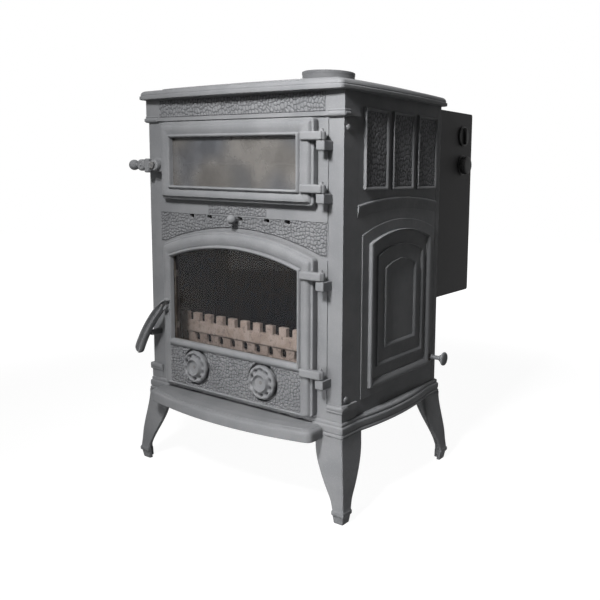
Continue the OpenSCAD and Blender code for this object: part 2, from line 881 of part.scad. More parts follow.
module latch_keepers() {
    color(iron) {
        block([-field_hw - 18, door_front + gap, oven_pivot[1] - 12],
            [-field_hw - 2, yf, oven_pivot[1] + 12]);
        // The lower one lies behind the hanging handle
        block([-field_hw - 16, bead_y + gap, fire_pivot[1] - 78],
            [-field_hw - 6, yf, fire_pivot[1] - 66]);
    }
}

// Oven door

module oven_outline(inset) {
    rounded(-door_w / 2 + inset, z_oven + inset, door_w / 2 - inset, z_oven_top - inset, door_r);
}
// The window grown on every side by an amount
module oven_window(grow) {
    rounded(-window_w / 2 - grow, z_window - grow, window_w / 2 + grow, z_window + oven_window_h + grow, 4);
}

glass_grow = 9;
land_grow = 16;
rope_w = 8;
rope_in = 8;
glass_y = door_back - 8;
pocket_y = door_back - 5;

module oven_door_frame() {
    color(iron) difference() {
        union() {
            along_y(door_front, door_back) oven_outline(0);
            along_y(crown_y, door_front) oven_outline(crown_in);
            along_y(bead_y, crown_y) oven_outline(bead_in);
            knuckles(OVEN_LUGS);
            along_y(door_front, door_back - 1)
                rounded(oven_pivot[0] - 13, oven_pivot[1] - 16, -door_w / 2 + 12, oven_pivot[1] + 16, 4);
        }
        along_y(bead_y - 1, door_back + 1) oven_window(0);
        along_y(glass_y - glass_t, door_back + 1) oven_window(glass_grow);
        along_y(pocket_y, door_back + 1) oven_window(land_grow);
        along_y(pocket_y, door_back + 1) difference() {
            oven_outline(rope_in);
            oven_outline(rope_in + rope_w);
        }
        knuckle_bores(OVEN_LUGS);
        bar_y(door_front - 1, door_back, oven_pivot[0], oven_pivot[1], 4);
    }
}

module oven_door_glass() {
    color(pane) along_y(glass_y - glass_t, glass_y) oven_window(glass_grow - slack);
}

module oven_door_ropes() {
    color(rope) {
        along_y(pocket_y, seat_y - gap) difference() {
            oven_outline(rope_in);
            oven_outline(rope_in + rope_w);
        }
        along_y(glass_y, pocket_y) difference() {
            oven_window(glass_grow - slack);
            oven_window(1);
        }
    }
}

// Clips that hold a pane against its rope; each has its screw head
module clip(x, z, sx) {
    along_y(pocket_y, pocket_y + 2) span(x - 10, z - 7, x + 10, z + 7);
    bar_y(pocket_y + 2, pocket_y + 4, x + sx * 5, z, 3.5);
}
module oven_glass_clips() {
    zm = z_window + oven_window_h / 2;
    color(steel) for (s = [-1, 1], dz = [-35, 35]) clip(s * (window_w / 2 + 5.5), zm + dz, s);
}

module oven_latch_screw() {
    color(iron) {
        bar_y(door_front - latch_t - 2, door_back - 2, oven_pivot[0], oven_pivot[1], 4);
        bar_y(door_front - latch_t - 5, door_front - latch_t - gap, oven_pivot[0], oven_pivot[1], 7);
    }
}

module oven_latch_lever() {
    y1 = door_front - gap;
    y0 = door_front - latch_t;
    px = oven_pivot[0];
    pz = oven_pivot[1];
    boss_x = px - 0.57 * latch_len;
    ball_x = px - latch_len;
    ym = (y0 + y1) / 2;
    color(iron) difference() {
        union() {
            bar_y(y0, y1, px, pz, 13);
            block([boss_x, y0 + 1, pz - 7], [px, y1, pz + 7]);
            block([px - 30, y0 - 1, pz - 17], [px - 15, y1, pz + 15]);
            bar_y(y0 - 3, y1, boss_x, pz, 13);
            bar_y(y0 - 5, y0 - 3, boss_x, pz, 6);
            bar_x(ball_x, boss_x, ym, pz, 5);
            translate([ball_x, ym, pz]) ball(ball_d / 2);
        }
        bar_y(y0 - 1, y1 + 1, px, pz, 4 + run);
    }
}

// Fire door

module fire_outline(inset) arched(door_w - 2 * inset, z_fire + inset, door_arch_r - inset);
module fire_window(grow) arched(fire_window_w + 2 * grow, z_sill - grow, arch_r + grow);

DIAL_HOLES = [0 : 72 : 288];
DIALS = [-dial_x - dial_shift, dial_x - dial_shift];
dial_r = dial_d / 2;
hole_r = 5;
hole_ring = dial_r - 11;
panel_y = door_front - 2;
dial_z = z_fire + dial_h;

module fire_door_frame() {
    panel_top = z_sill - sill_t;
    panel_half = fire_window_w / 2 + 6;
    color(iron) difference() {
        union() {
            along_y(door_front, door_back) fire_outline(0);
            along_y(crown_y, door_front) difference() {
                fire_outline(crown_in);
                span(-panel_half, z_fire - 1, panel_half, panel_top);
            }
            along_y(bead_y, crown_y) intersection() {
                fire_outline(bead_in);
                arched(door_w, panel_top, door_arch_r);
            }
            along_y(panel_y, door_front) span(-panel_half, z_fire + 5, panel_half, panel_top);
            bar_y(bead_y, door_front, fire_pivot[0], fire_pivot[1], 15);
            knuckles(FIRE_LUGS);
        }
        along_y(bead_y - 1, door_back + 1) fire_window(0);
        along_y(glass_y - glass_t, door_back + 1) fire_window(glass_grow);
        along_y(pocket_y, door_back + 1) fire_window(land_grow);
        along_y(pocket_y, door_back + 1) difference() {
            fire_outline(rope_in - 2);
            fire_outline(rope_in - 2 + rope_w);
        }
        knuckle_bores(FIRE_LUGS);
        for (x = DIALS) {
            bar_y(panel_y - 1, door_back + 1, x, dial_z, 4);
            for (a = DIAL_HOLES) bar_y(panel_y - 1, door_back + 1,
                x + hole_ring * sin(a), dial_z + hole_ring * cos(a), hole_r);
        }
        bar_y(bead_y - 1, pocket_y - 2, fire_pivot[0], fire_pivot[1], 4);
    }
}

module fire_door_glass() {
    color(pane) along_y(glass_y - glass_t, glass_y) fire_window(glass_grow - slack);
}

module fire_door_ropes() {
    color(rope) {
        along_y(pocket_y, seat_y - gap) difference() {
            fire_outline(rope_in - 2);
            fire_outline(rope_in - 2 + rope_w);
        }
        along_y(glass_y, pocket_y) difference() {
            fire_window(glass_grow - slack);
            fire_window(1);
        }
    }
}

module fire_glass_clips() {
    color(steel) for (s = [-1, 1], z = [z_sill + 30, z_sill + 150]) clip(s * (fire_window_w / 2 + 5.5), z, s);
}

module fire_handle_screw() {
    color(iron) {
        bar_y(bead_y - handle_t - 2, pocket_y - 2, fire_pivot[0], fire_pivot[1], 4);
        bar_y(bead_y - handle_t - 5, bead_y - handle_t - 2 * gap, fire_pivot[0], fire_pivot[1], 8);
    }
}

// A gently curved grip hanging down and out from its pivot, with a groove along its face and a
// pointed upper end
module fire_handle() {
    y1 = bead_y - gap;
    y0 = y1 - handle_t;
    hub_r = handle_w / 2 + 2;
    sag = 5;
    bend_r = handle_len * handle_len / (8 * sag) + sag / 2;
    // Band of a circle from the hub down to the tip, drawn pointing straight down
    module grip(w, trim) {
        intersection() {
            translate([bend_r - sag, -handle_len / 2]) difference() {
                circle(bend_r + w / 2, $fn = 360);
                circle(bend_r - w / 2, $fn = 360);
            }
            span(-60, -handle_len + trim, 60, -trim);
        }
    }
    color(iron) difference() {
        union() {
            bar_y(y0, y1, fire_pivot[0], fire_pivot[1], hub_r);
            translate([fire_pivot[0], 0, fire_pivot[1]]) rotate([0, handle_tilt, 0]) {
                along_y(y0, y1) {
                    grip(handle_w, 0);
                    translate([0, -handle_len]) circle(handle_w / 2);
                    polygon([[-hub_r / 2, -2], [hub_r / 2, -2], [hub_r / 2, 1.5 * hub_r]]);
                }
            }
        }
        translate([fire_pivot[0], 0, fire_pivot[1]]) rotate([0, handle_tilt, 0])
            along_y(y0 - 1, y0 + 5) grip(handle_w - 12, 22);
        bar_y(y0 - 1, y1 + 1, fire_pivot[0], fire_pivot[1], 4 + run);
    }
}

module dial_spindles() {
    color(steel) for (x = DIALS) bar_y(panel_y - 7, door_back, x, dial_z, 4);
}

module air_dial(x) {
    y1 = panel_y - gap;
    color(iron) difference() {
        union() {
            bar_y(y1 - 5, y1, x, dial_z, dial_r);
            bar_y(y1 - 7, y1 - 5, x, dial_z, dial_r - 2.5);
            bar_y(y1 - 9, y1 - 7, x, dial_z, 18);
            translate([x, y1 - 9, dial_z]) rotate([90, 0, 0]) rotate_extrude() intersection() {
                translate([0, -25]) circle(30);
                square([17, 6]);
            }
        }
        for (a = DIAL_HOLES) bar_y(y1 - 8, y1 + 1,
            x + hole_ring * sin(a), dial_z + hole_ring * cos(a), hole_r);
        bar_y(panel_y - 7 - gap, y1 + 1, x, dial_z, 4 + run);
    }
}
module air_dial_left() air_dial(DIALS[0]);
module air_dial_right() air_dial(DIALS[1]);

// Air slider

slider_z = z_vent - 5.25;
module air_slider() {
    y0 = yf + wall_t + gap;
    color(steel) difference() {
        block([-165, y0, slider_z - 10], [165, y0 + 3, slider_z + 10]);
        along_y(y0 - 1, y0 + 4) for (x = VENTS) rounded(x - 8, z_vent - 9, x + 8, z_vent - 1, 3.9);
    }
}
module air_slider_knob() {
    ball_y = yf - 18;
    color(iron) {
        bar_y(ball_y, yf + wall_t + gap, 0, slider_z, stem_r);
        translate([0, ball_y, slider_z]) ball(10);
    }
}

// Rear box

module box_profile(inset) {
    rounded(yb - 20, z_box + inset, box_y - inset, z_box_top - inset, 6 - inset);
}

module rear_housing() {
    color(sheet) difference() {
        intersection() {
            along_x(-box_hw, box_hw) box_profile(0);
            block([-box_hw, yb, z_box - 1], [box_hw, box_y + 1, z_box_top + 1]);
        }
        along_x(-box_hw + sheet_t, box_hw - sheet_t) box_profile(sheet_t);
        for (z = [thermostat_z, speed_z]) bar_x(box_hw - sheet_t - 1, box_hw + 1, knob_y, z, 5);
        // Air intakes in the back sheet
        along_y(box_y - sheet_t - 1, box_y + 1) for (i = [0 : 7])
            rounded(-110, z_box + 70 + i * 16, 110, z_box + 76 + i * 16, 2.9);
        along_y(box_y - sheet_t - 1, box_y + 1) span(-214, z_box + 34, -186, z_box + 54);
    }
}

module blower_motor() {
    color(steel) {
        bar_x(-75, -10, blower_y, blower_z, 38);
        bar_x(-10, wheel_w, blower_y, blower_z, 4);
        block([-65, blower_y - 30, z_box + sheet_t], [-20, blower_y + 30, blower_z - 20]);
    }
}

module blower_wheel() {
    blades = 20;
    color(dark_iron) difference() {
        union() {
            bar_x(0, 3, blower_y, blower_z, wheel_r);
            bar_x(0, 20, blower_y, blower_z, 10);
            difference() {
                bar_x(wheel_w - 3, wheel_w, blower_y, blower_z, wheel_r);
                bar_x(wheel_w - 4, wheel_w + 1, blower_y, blower_z, wheel_r - 12);
            }
            for (i = [0 : blades - 1]) translate([0, blower_y, blower_z]) rotate([i * 360 / blades, 0, 0])
                block([2, -0.8, wheel_r - 12], [wheel_w - 2, 0.8, wheel_r - 1]);
        }
        bar_x(-1, wheel_w + 1, blower_y, blower_z, 4 + run);
    }
}

module control_bodies() {
    x1 = box_hw - sheet_t;
    color(plastic) for (z = [thermostat_z, speed_z]) difference() {
        block([x1 - 30, knob_y - 20, z - 20], [x1, knob_y + 20, z + 20]);
        bar_x(x1 - 22, x1 + 1, knob_y, z, shaft_r + run);
    }
}

// A round knob on its shaft, standing out from the box by h
module box_knob(z, h) {
    x0 = box_hw + gap;
    color(plastic) {
        bar_x(box_hw - sheet_t - 20, x0, knob_y, z, shaft_r);
        bar_x(x0, x0 + 3, knob_y, z, knob_d / 2);
        bar_x(x0 + 3, x0 + h, knob_y, z, knob_d / 2 - 4);
    }
}
module thermostat_knob() {
    x0 = box_hw + gap;
    box_knob(thermostat_z, 5);
    color(plastic) block([x0 + 5, knob_y - 18, thermostat_z - 4], [x0 + 12, knob_y + 18, thermostat_z + 4]);
}
module speed_knob() box_knob(speed_z, 18);

module power_inlet() {
    color(plastic) difference() {
        union() {
            along_y(box_y, box_y + 3) rounded(-219, z_box + 29, -181, z_box + 59, 3);
            along_y(box_y - 22, box_y) span(-214, z_box + 34, -186, z_box + 54);
        }
        along_y(box_y - 14, box_y + 4) rounded(-210, z_box + 37, -190, z_box + 51, 2);
    }
}

base_plate();
leg_front_left();
leg_front_right();
leg_rear_left();
leg_rear_right();
leg_bolts();
ash_apron();
front_frame();
side_panel_left();
side_panel_right();
back_panel();
top_plate();
flue_collar();
collar_bolts();
tie_rods();
corner_bolts();
ash_box();
ash_pan();
firebox_floor();
liner_left();
liner_right();
liner_rear();
log_retainer();
baffle_plate();
oven_box();
oven_shelf();
oven_hinge_brackets();
fire_hinge_brackets();
oven_hinge_pins();
fire_hinge_pins();
latch_keepers();
shaker_bush();
rear_housing();
blower_motor();
control_bodies();
power_inlet();
oven_door_frame();
oven_door_glass();
oven_door_ropes();
oven_glass_clips();
oven_latch_screw();
oven_latch_lever();
fire_door_frame();
fire_door_glass();
fire_door_ropes();
fire_glass_clips();
fire_handle_screw();
fire_handle();
dial_spindles();
air_dial_left();
air_dial_right();
air_slider();
air_slider_knob();
grate();
shaker_rod();
thermostat_knob();
speed_knob();
blower_wheel();
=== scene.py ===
# %% [markdown]
# A cast iron stove with an oven over its fire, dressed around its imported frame.
# The frame holds every piece at its real size. This lesson adds what a foundry
# and a paint shop add: rounded mouldings, the pebbled fields between them, and
# the matt grey paint over sand-cast iron.

# %% Load the frame
import bmesh
import bpy
import numpy as np
from mathutils import Matrix, Vector


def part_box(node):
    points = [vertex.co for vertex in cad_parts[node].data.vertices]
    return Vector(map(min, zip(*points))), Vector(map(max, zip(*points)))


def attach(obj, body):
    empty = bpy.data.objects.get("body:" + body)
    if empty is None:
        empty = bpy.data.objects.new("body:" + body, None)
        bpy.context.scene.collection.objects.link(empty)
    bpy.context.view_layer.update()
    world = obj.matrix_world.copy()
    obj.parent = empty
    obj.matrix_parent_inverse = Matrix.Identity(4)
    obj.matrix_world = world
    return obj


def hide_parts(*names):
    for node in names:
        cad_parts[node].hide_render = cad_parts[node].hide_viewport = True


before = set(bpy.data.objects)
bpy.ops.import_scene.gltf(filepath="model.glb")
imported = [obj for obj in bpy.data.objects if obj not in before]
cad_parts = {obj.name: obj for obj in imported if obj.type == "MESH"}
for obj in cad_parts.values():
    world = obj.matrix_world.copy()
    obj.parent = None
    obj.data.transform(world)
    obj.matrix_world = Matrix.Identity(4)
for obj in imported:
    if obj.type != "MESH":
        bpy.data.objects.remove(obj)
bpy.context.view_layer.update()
scene = bpy.context.scene
scene.view_settings.view_transform = "Standard"

# %% [markdown]
# Sizes are in millimetres, as on a founder's drawing, and become metres when a
# mesh is made. Most places are read from the frame, so that the looks follow it.

# %% Main sizes
MM = 0.001


def box(node):
    """Lowest and highest corner of a frame node, in millimetres."""
    lo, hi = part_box(node)
    return np.array(lo) / MM, np.array(hi) / MM


def middle(node):
    lo, hi = box(node)
    return (lo + hi) / 2


body_lo, body_hi = box("back_panel")
HALF, BACK, BODY_TOP = body_hi  # the outer faces of posts and side castings, the back and the top
FACE, BODY_FOOT = -BACK, body_lo[2]
SEAM, REAR_SEAM = (corner[1] for corner in box("side_panel_right"))  # the side casting's two ends
door_lo, door_hi = box("fire_door_frame")
DOOR_BACK, DOOR_HALF = door_hi[1], -door_lo[0]
WINDOW_HALF = 182.0
GLASS_GROW, LAND_GROW = 9.0, 16.0  # how far glass and rope land reach past a window
print("body", HALF, FACE, BACK, BODY_FOOT, BODY_TOP, "doors", DOOR_HALF, DOOR_BACK)

# %% [markdown]
# The camera stands where the photographer stood: to the right of the stove, level
# with the oven's window. Its place was worked out from the corners of the body.
# It goes first, because everything after it is judged through it.

# %% Camera
CAMERA_PLACE = (1.08919, -1.28886, 0.69941)
CAMERA_YAW, CAMERA_PITCH, CAMERA_ROLL = np.radians((33.09, 7.15, 1.0))
FOCAL_PX = 710.15
PRINCIPAL_PX = np.array((383.27, 260.75))
FRAME_PX = 600.0
SENSOR_MM = 36.0


def make_camera():
    """Turned by yaw about Z, tipped down by pitch, then rolled about its own line of sight."""
    data = bpy.data.cameras.new("photo_camera")
    data.sensor_width = SENSOR_MM
    data.lens = FOCAL_PX * SENSOR_MM / FRAME_PX
    data.shift_x = (FRAME_PX / 2 - PRINCIPAL_PX[0]) / FRAME_PX
    data.shift_y = (PRINCIPAL_PX[1] - FRAME_PX / 2) / FRAME_PX
    camera = bpy.data.objects.new("photo_camera", data)
    tip = Matrix.Rotation(np.pi / 2 - CAMERA_PITCH, 4, "X") @ Matrix.Rotation(CAMERA_ROLL, 4, "Z")
    camera.matrix_world = Matrix.Translation(CAMERA_PLACE) @ Matrix.Rotation(CAMERA_YAW, 4, "Z") @ tip
    scene.collection.objects.link(camera)
    scene.camera = camera
    print("lens", round(data.lens, 2), "mm")


make_camera()

# %% [markdown]
# Most castings here are stacks of outlines. An outline is a closed row of points
# made from four corners: each side may bulge as an arc, and each corner is
# rounded. All of them have the same number of points in the same order, so any
# two can be joined by faces, which is how a pattern maker thinks of a moulding:
# one section carried round an edge.

# %% Outlines
SIDE_POINTS = 22
CORNER_POINTS = 5


def arc_side(a, b, sag, trim_a, trim_b):
    """Points from a to b on the circle that stands sag proud of the chord's middle.

    point = centre + along * R sin(t) + outward * (R cos(t) - R + sag), R = (c*c + sag*sag) / (2 sag),
    where c is half the chord; a flat side when sag is 0. The ends are trimmed for the corners.
    """
    length = np.hypot(*(b - a))
    along, centre, half = (b - a) / length, (a + b) / 2, length / 2
    outward = np.array((along[1], -along[0]))
    s = np.linspace(-1 + 2 * trim_a / length, 1 - 2 * trim_b / length, SIDE_POINTS)[:, None]
    if abs(sag) < 1e-6:
        return centre + s * half * along
    radius = (half * half + sag * sag) / (2 * sag)
    t = s * np.arcsin(half / radius)
    return centre + radius * np.sin(t) * along + (radius * np.cos(t) - radius + sag) * outward


def corner_curve(before, corner, after, s):
    """A rounded corner: (1-s)^2 E + 2s(1-s) C + s^2 F between the side ends E and F."""
    return (1 - s) ** 2 * before + 2 * s * (1 - s) * corner + s * s * after


def outline(corners, sags=(0, 0, 0, 0), radius=3.0):
    """The closed anticlockwise outline of four corners; side k runs from corner k."""
    corners, radii = np.asarray(corners, float), np.broadcast_to(radius, 4)
    after = [1, 2, 3, 0]
    sides = [arc_side(corners[k], corners[n], sags[k], radii[k], radii[n]) for k, n in enumerate(after)]
    s = (np.arange(CORNER_POINTS)[:, None] + 1) / (CORNER_POINTS + 1)
    rows = []
    for k, n in enumerate(after):
        rows += [sides[k], corner_curve(sides[k][-1], corners[n], sides[n][0], s)]
    return np.concatenate(rows)


def rect(x0, y0, x1, y1, radius=3.0, sags=(0, 0, 0, 0)):
    """A rectangle's outline; sags are for the bottom, right, top and left sides."""
    return outline(((x0, y0), (x1, y0), (x1, y1), (x0, y1)), sags, radius)


def on_plan(shape, z):
    """Pairs of X and Y laid at height z."""
    return np.insert(shape, 2, z, axis=-1)


def on_front(shape, y):
    """Pairs of X and Z stood at depth y."""
    return np.insert(shape, 1, y, axis=-1)


def on_side(shape, x):
    """Pairs of Y and Z stood at width x."""
    return np.insert(shape, 0, x, axis=-1)


print(len(rect(0, 0, 10, 10, 1)), "points in an outline")

# %% [markdown]
# A part is one closed surface: its points, its four-cornered faces and its flat
# ends. The sign of its volume says whether its faces point outwards, so a part
# that came out inside out is turned at once. A part may also carry a number for
# each point, groove_shade, which says how deep in a groove the point lies; the
# paint darkens the colour by it, as painted shade in the grooves.

# %% Closed parts
CREASE = np.radians(42.0)  # edges sharper than this stay sharp


def closed(points, quads, ends=(), groove_shade=None):
    """A part with outward faces: volume = sum of a . (b x c) over its triangles, kept positive."""
    points = np.asarray(points, float)
    quads = np.asarray(quads, int).reshape(-1, 4)
    a, b, c, d = (points[quads[:, k]] for k in range(4))
    volume = np.sum(a * (np.cross(b, c) + np.cross(c, d)))
    for end in ends:
        p = points[end]
        volume += np.sum(p[0] * np.cross(p[1:-1], p[2:]))
    if volume < 0:
        quads, ends = quads[:, ::-1], [end[::-1] for end in ends]
    return points, quads, ends, np.zeros(len(points)) if groove_shade is None else np.reshape(groove_shade, -1)


def grid_quads(rows, columns, wrap_rows=False, wrap_columns=True):
    """Corner numbers of the faces of a grid, which may close on itself either way."""
    i = np.arange(rows if wrap_rows else rows - 1)[:, None]
    j = np.arange(columns if wrap_columns else columns - 1)[None, :]
    i2, j2 = (i + 1) % rows, (j + 1) % columns
    corners = (i * columns + j, i * columns + j2, i2 * columns + j2, i2 * columns + j)
    return np.stack(corners, -1).reshape(-1, 4)


def loft(loops, groove_shade=None):
    """A solid whose skin joins a stack of outlines, with flat first and last faces."""
    rows, columns = np.shape(loops)[:2]
    first = np.arange(columns)
    ends = [first[::-1], first + (rows - 1) * columns]
    return closed(np.reshape(loops, (-1, 3)), grid_quads(rows, columns), ends, groove_shade)


def ring(loops, groove_shade=None):
    """A ring-shaped solid: the last outline joins the first, as a picture frame's section does."""
    quads = grid_quads(*np.shape(loops)[:2], wrap_rows=True)
    return closed(np.reshape(loops, (-1, 3)), quads, (), groove_shade)


def mirrored(part):
    """The part's other hand, across the middle plane x = 0."""
    points, quads, ends, groove_shade = part
    return closed(points * (-1, 1, 1), quads, ends, groove_shade)


def piece(name, parts, stands_for=(), body="root", finish=None):
    """Makes one object of closed parts, painted unless another finish is given, and says how big it is."""
    points, faces, groove_shade, start = [], [], [], 0
    for part_points, quads, ends, part_groove_shade in parts:
        points.append(part_points * MM)
        groove_shade.append(part_groove_shade)
        faces += (quads + start).tolist() + [(end + start).tolist() for end in ends]
        start += len(part_points)
    mesh = bpy.data.meshes.new(name)
    mesh.from_pydata(np.concatenate(points).tolist(), [], faces)
    depths = mesh.attributes.new("groove_shade", "FLOAT", "POINT").data
    depths.foreach_set("value", np.concatenate(groove_shade).astype(np.float32))
    print(name, len(faces), "faces")
    return settle(bpy.data.objects.new(name, mesh), finish or PAINTED, stands_for, body)


def settle(made, finish, stands_for, body):
    """Shades an object smooth between its sharp edges and hands it to the frame."""
    scene.collection.objects.link(made)
    mesh = made.data
    mesh.materials.clear()
    mesh.materials.append(finish)
    mesh.shade_smooth()
    mesh.set_sharp_from_angle(angle=CREASE)
    even = made.modifiers.new("even shading", "WEIGHTED_NORMAL")
    even.keep_sharp = True
    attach(made, body)
    if stands_for:
        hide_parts(*stands_for)
    return made


print(len(loft([on_plan(rect(0, 0, 9, 9), z) for z in (0, 9)])[1]), "faces in a plain loft")

# %% [markdown]
# Some parts are not stacks of outlines. A bar or lug is a block whose edges and
# corners are all rounded alike. A knob or collar is turned about an axis. Both
# are formulas on a grid too.

# %% Rounded blocks and turned parts
def block(lo, hi, radius=2.0, steps=3):
    """A block with round edges.

    Each point q of the plain block becomes c + r (q - c) / |q - c|, where c is q clamped inwards by r.
    """
    lo, hi = np.asarray(lo, float), np.asarray(hi, float)
    r = min(radius, 0.499 * (hi - lo).min())
    near = r * (1 - np.tan(np.linspace(np.pi / 4, 0, steps + 1)))
    lines = [np.concatenate((lo[k] + near, hi[k] - near[::-1])) for k in range(3)]
    points, quads, start = [], [], 0
    for axis in range(3):
        u, v = (axis + 1) % 3, (axis + 2) % 3
        for level, step in ((lo[axis], 1), (hi[axis], -1)):
            a, b = np.meshgrid(lines[u], lines[v], indexing="ij")
            q = np.zeros(a.shape + (3,))
            q[..., u], q[..., v], q[..., axis] = a, b, level
            quads.append(grid_quads(*a.shape, wrap_columns=False)[:, ::step] + start)
            points.append(q.reshape(-1, 3))
            start += a.size
    q, quads = np.concatenate(points), np.concatenate(quads)
    c = np.clip(q, lo + r, hi - r)
    q = c + r * (q - c) / np.linalg.norm(q - c, axis=1, keepdims=True)
    unique, number = np.unique(np.round(q, 5), axis=0, return_inverse=True)
    return closed(unique, number.reshape(-1)[quads])


def turned(profile, centre, axis, around=48):
    """A solid turned about an axis: point = centre + axis h + r (cos t e1 + sin t e2) for each row (r, h)."""
    profile = np.asarray(profile, float)[:, :, None, None]
    axis = np.asarray(axis, float)
    e1 = np.cross(axis, (0.0, 0.0, 1.0) if abs(axis[2]) < 0.9 else (1.0, 0.0, 0.0))
    t = np.linspace(0, 2 * np.pi, around, endpoint=False)
    circle = np.outer(np.cos(t), e1) + np.outer(np.sin(t), np.cross(axis, e1))
    return loft(np.asarray(centre) + profile[:, 1] * axis + profile[:, 0] * circle)


def ball(radius, rows=15):
    """Profile rows of a ball about its centre: r = R sin s, h = -R cos s."""
    s = np.linspace(0.05, np.pi - 0.05, rows)
    return np.column_stack((radius * np.sin(s), -radius * np.cos(s)))


print(len(block((0, 0, 0), (9, 9, 9))[0]), "points in a rounded block")

# %% [markdown]
# The pebbled fields are the stove's signature. The pattern maker tooled small
# rounded lumps with narrow grooves between them. A painted bump would vanish
# from the side, so the fields are real relief: at each point of a fine grid the
# distances to the nearest and second nearest lump centre are compared, and where
# they are almost equal there is a groove.

# %% Pebbled relief
PEBBLE = 8.0
PEBBLE_RISE = 2.0


def chance(i, j, seed):
    """A repeatable number between 0 and 1 for each cell: the fraction of sin(a i + b j + c) * 43758.5."""
    return np.modf(np.abs(np.sin(i * 12.9898 + j * 78.233 + seed * 37.719) * 43758.5453))[0]


def pebbles(u, v, stretch=1.0, seed=1.0, cell=PEBBLE):
    """Height from 0 in a groove to about 1 on a lump, from the gap between the nearest two centres."""
    a = u / cell + 0.22 * np.sin(v / cell * 1.3 + seed)
    b = v / (cell * stretch) + 0.22 * np.sin(u / cell * 1.1 + 2 * seed)
    ia, ib = np.floor(a), np.floor(b)
    nearest, second, rise = np.full(a.shape, 9.0), np.full(a.shape, 9.0), np.zeros(a.shape)
    for di in (-1, 0, 1):
        for dj in (-1, 0, 1):
            ci, cj = ia + di, ib + dj
            x = ci + 0.5 + 0.8 * (chance(ci, cj, seed) - 0.5)
            y = cj + 0.5 + 0.8 * (chance(ci, cj, seed + 5) - 0.5)
            far = np.hypot(x - a, y - b)
            closer = far < nearest
            second = np.where(closer, nearest, np.minimum(second, far))
            rise = np.where(closer, 0.8 + 0.2 * chance(ci, cj, seed + 9), rise)
            nearest = np.minimum(nearest, far)
    edge = np.clip((second - nearest) / 0.34, 0, 1)
    return rise * edge * edge * (3 - 2 * edge) * (1 - 0.25 * np.clip(nearest, 0, 1) ** 2)


def relief_slab(points, outward, height, sink=1.0):
    """A closed slab over a grid of points: its face is raised by height, its rim and back lie sink below."""
    rows, columns = points.shape[:2]
    outward = np.asarray(outward, float)
    height[[0, -1], :] = height[:, [0, -1]] = 0.0
    face = points + height[..., None] * outward
    number = np.arange(rows * columns).reshape(rows, columns)
    rim = np.concatenate((number[0, :-1], number[:-1, -1], number[-1, :0:-1], number[:0:-1, 0]))
    back = points.reshape(-1, 3)[rim] - sink * outward
    back_number = rows * columns + np.arange(len(rim))
    walls = np.stack((rim, np.roll(rim, -1), np.roll(back_number, -1), back_number), -1)
    quads = np.concatenate((grid_quads(rows, columns, wrap_columns=False)[:, ::-1], walls))
    # groove_shade is 1 in a groove and on the slab's edge, 0 on a lump's top; the paint turns it into painted
    # shade
    groove_shade = np.concatenate(((1 - height / PEBBLE_RISE).reshape(-1), np.zeros(len(rim))))
    return closed(np.concatenate((face.reshape(-1, 3), back)), quads, [back_number[::-1]], groove_shade)


def pebbled_rect(lo, hi, place, level, outward, stretch=1.0, seed=1.0, pitch=1.25):
    """A pebbled rectangle; place sets the grid of its pairs on the casting at a level."""
    lines = [np.linspace(lo[k], hi[k], int((hi[k] - lo[k]) / pitch) + 1) for k in (0, 1)]
    u, v = np.meshgrid(*lines, indexing="ij")
    points = place(np.stack((u, v), -1), level)
    return relief_slab(points, outward, PEBBLE_RISE * pebbles(u, v, stretch, seed))


print(len(pebbled_rect((0, 0), (90, 30), on_front, 0, (0, -1, 0))[1]), "faces in a trial field")

# %% [markdown]
# Materials are node graphs written as arithmetic. One small class stands for a
# number in the graph, so 1 - mask adds the node that it needs. Every other node
# comes from one method.

# %% Shader arithmetic
class Number:
    """A number socket of a graph; + - * add the Math nodes."""

    def __init__(self, paint, socket):
        self.paint, self.socket = paint, socket

    def math(self, operation, first, second):
        return self.paint.node("Math", {0: first, 1: second}, operation=operation)

    def __add__(self, other):
        return self.math("ADD", self, other)

    def __mul__(self, other):
        return self.math("MULTIPLY", self, other)

    def __rsub__(self, other):
        return self.math("SUBTRACT", other, self)

    __radd__, __rmul__ = __add__, __mul__


class Paint:
    """One material. node() is the only way in which nodes are added to it."""

    def __init__(self, name, tree=None):
        if tree is None:
            self.material = bpy.data.materials.new(name)
            self.material.use_nodes = True
            tree = self.material.node_tree
        self.tree = tree
        self.tree.nodes.clear()

    def node(self, kind, values=None, out=0, **settings):
        made = self.tree.nodes.new("ShaderNode" + kind)
        for key, value in settings.items():
            setattr(made, key, value)
        for key, value in (values or {}).items():
            socket = made.inputs[key]
            if isinstance(value, Number):
                self.tree.links.new(value.socket, socket)
            else:
                socket.default_value = value
        return Number(self, made.outputs[out]) if len(made.outputs) else None

    def place(self):
        return self.node("TexCoord", out="Object")

    def noise(self, scale, detail=2.0):
        """Soft noise between 0 and 1; scale is in lumps to the metre."""
        return self.node("TexNoise", {"Vector": self.place(), "Scale": scale, "Detail": detail})

    def step(self, value, low, high):
        """0 below low, 1 above high, smooth between them."""
        return self.node("MapRange", {0: value, 1: low, 2: high}, interpolation_type="SMOOTHSTEP")

    def blend(self, factor, first, second):
        """A colour mix; socket 0 is the factor, 6 and 7 are the colours."""
        return self.node("Mix", {0: factor, 6: first, 7: second}, out=2, data_type="RGBA")

    def relief(self, height, depth, before=None):
        """A bump of that many metres, on top of the one before."""
        values = {"Height": height, "Distance": depth, "Strength": 1.0}
        if before is not None:
            values["Normal"] = before
        return self.node("Bump", values)

    def finish(self, **values):
        """Joins a Principled surface to the output; names use _ for a space."""
        named = {key.replace("_", " "): value for key, value in values.items()}
        self.node("OutputMaterial", {"Surface": self.node("BsdfPrincipled", named)})
        return self.material


print("paint class ready")

# %% [markdown]
# The stove is sprayed with a matt grey heat-proof paint. It is thin, so the sand
# grain of the mould shows through. The grooves of the pebbles and other hollows
# are painted darker, as painted shade. Colour follows a slow noise and the
# groove_shade attribute; the grain is a fine bump.

# %% Painted iron
def rgb(red, green, blue):
    return (red, green, blue, 1.0)


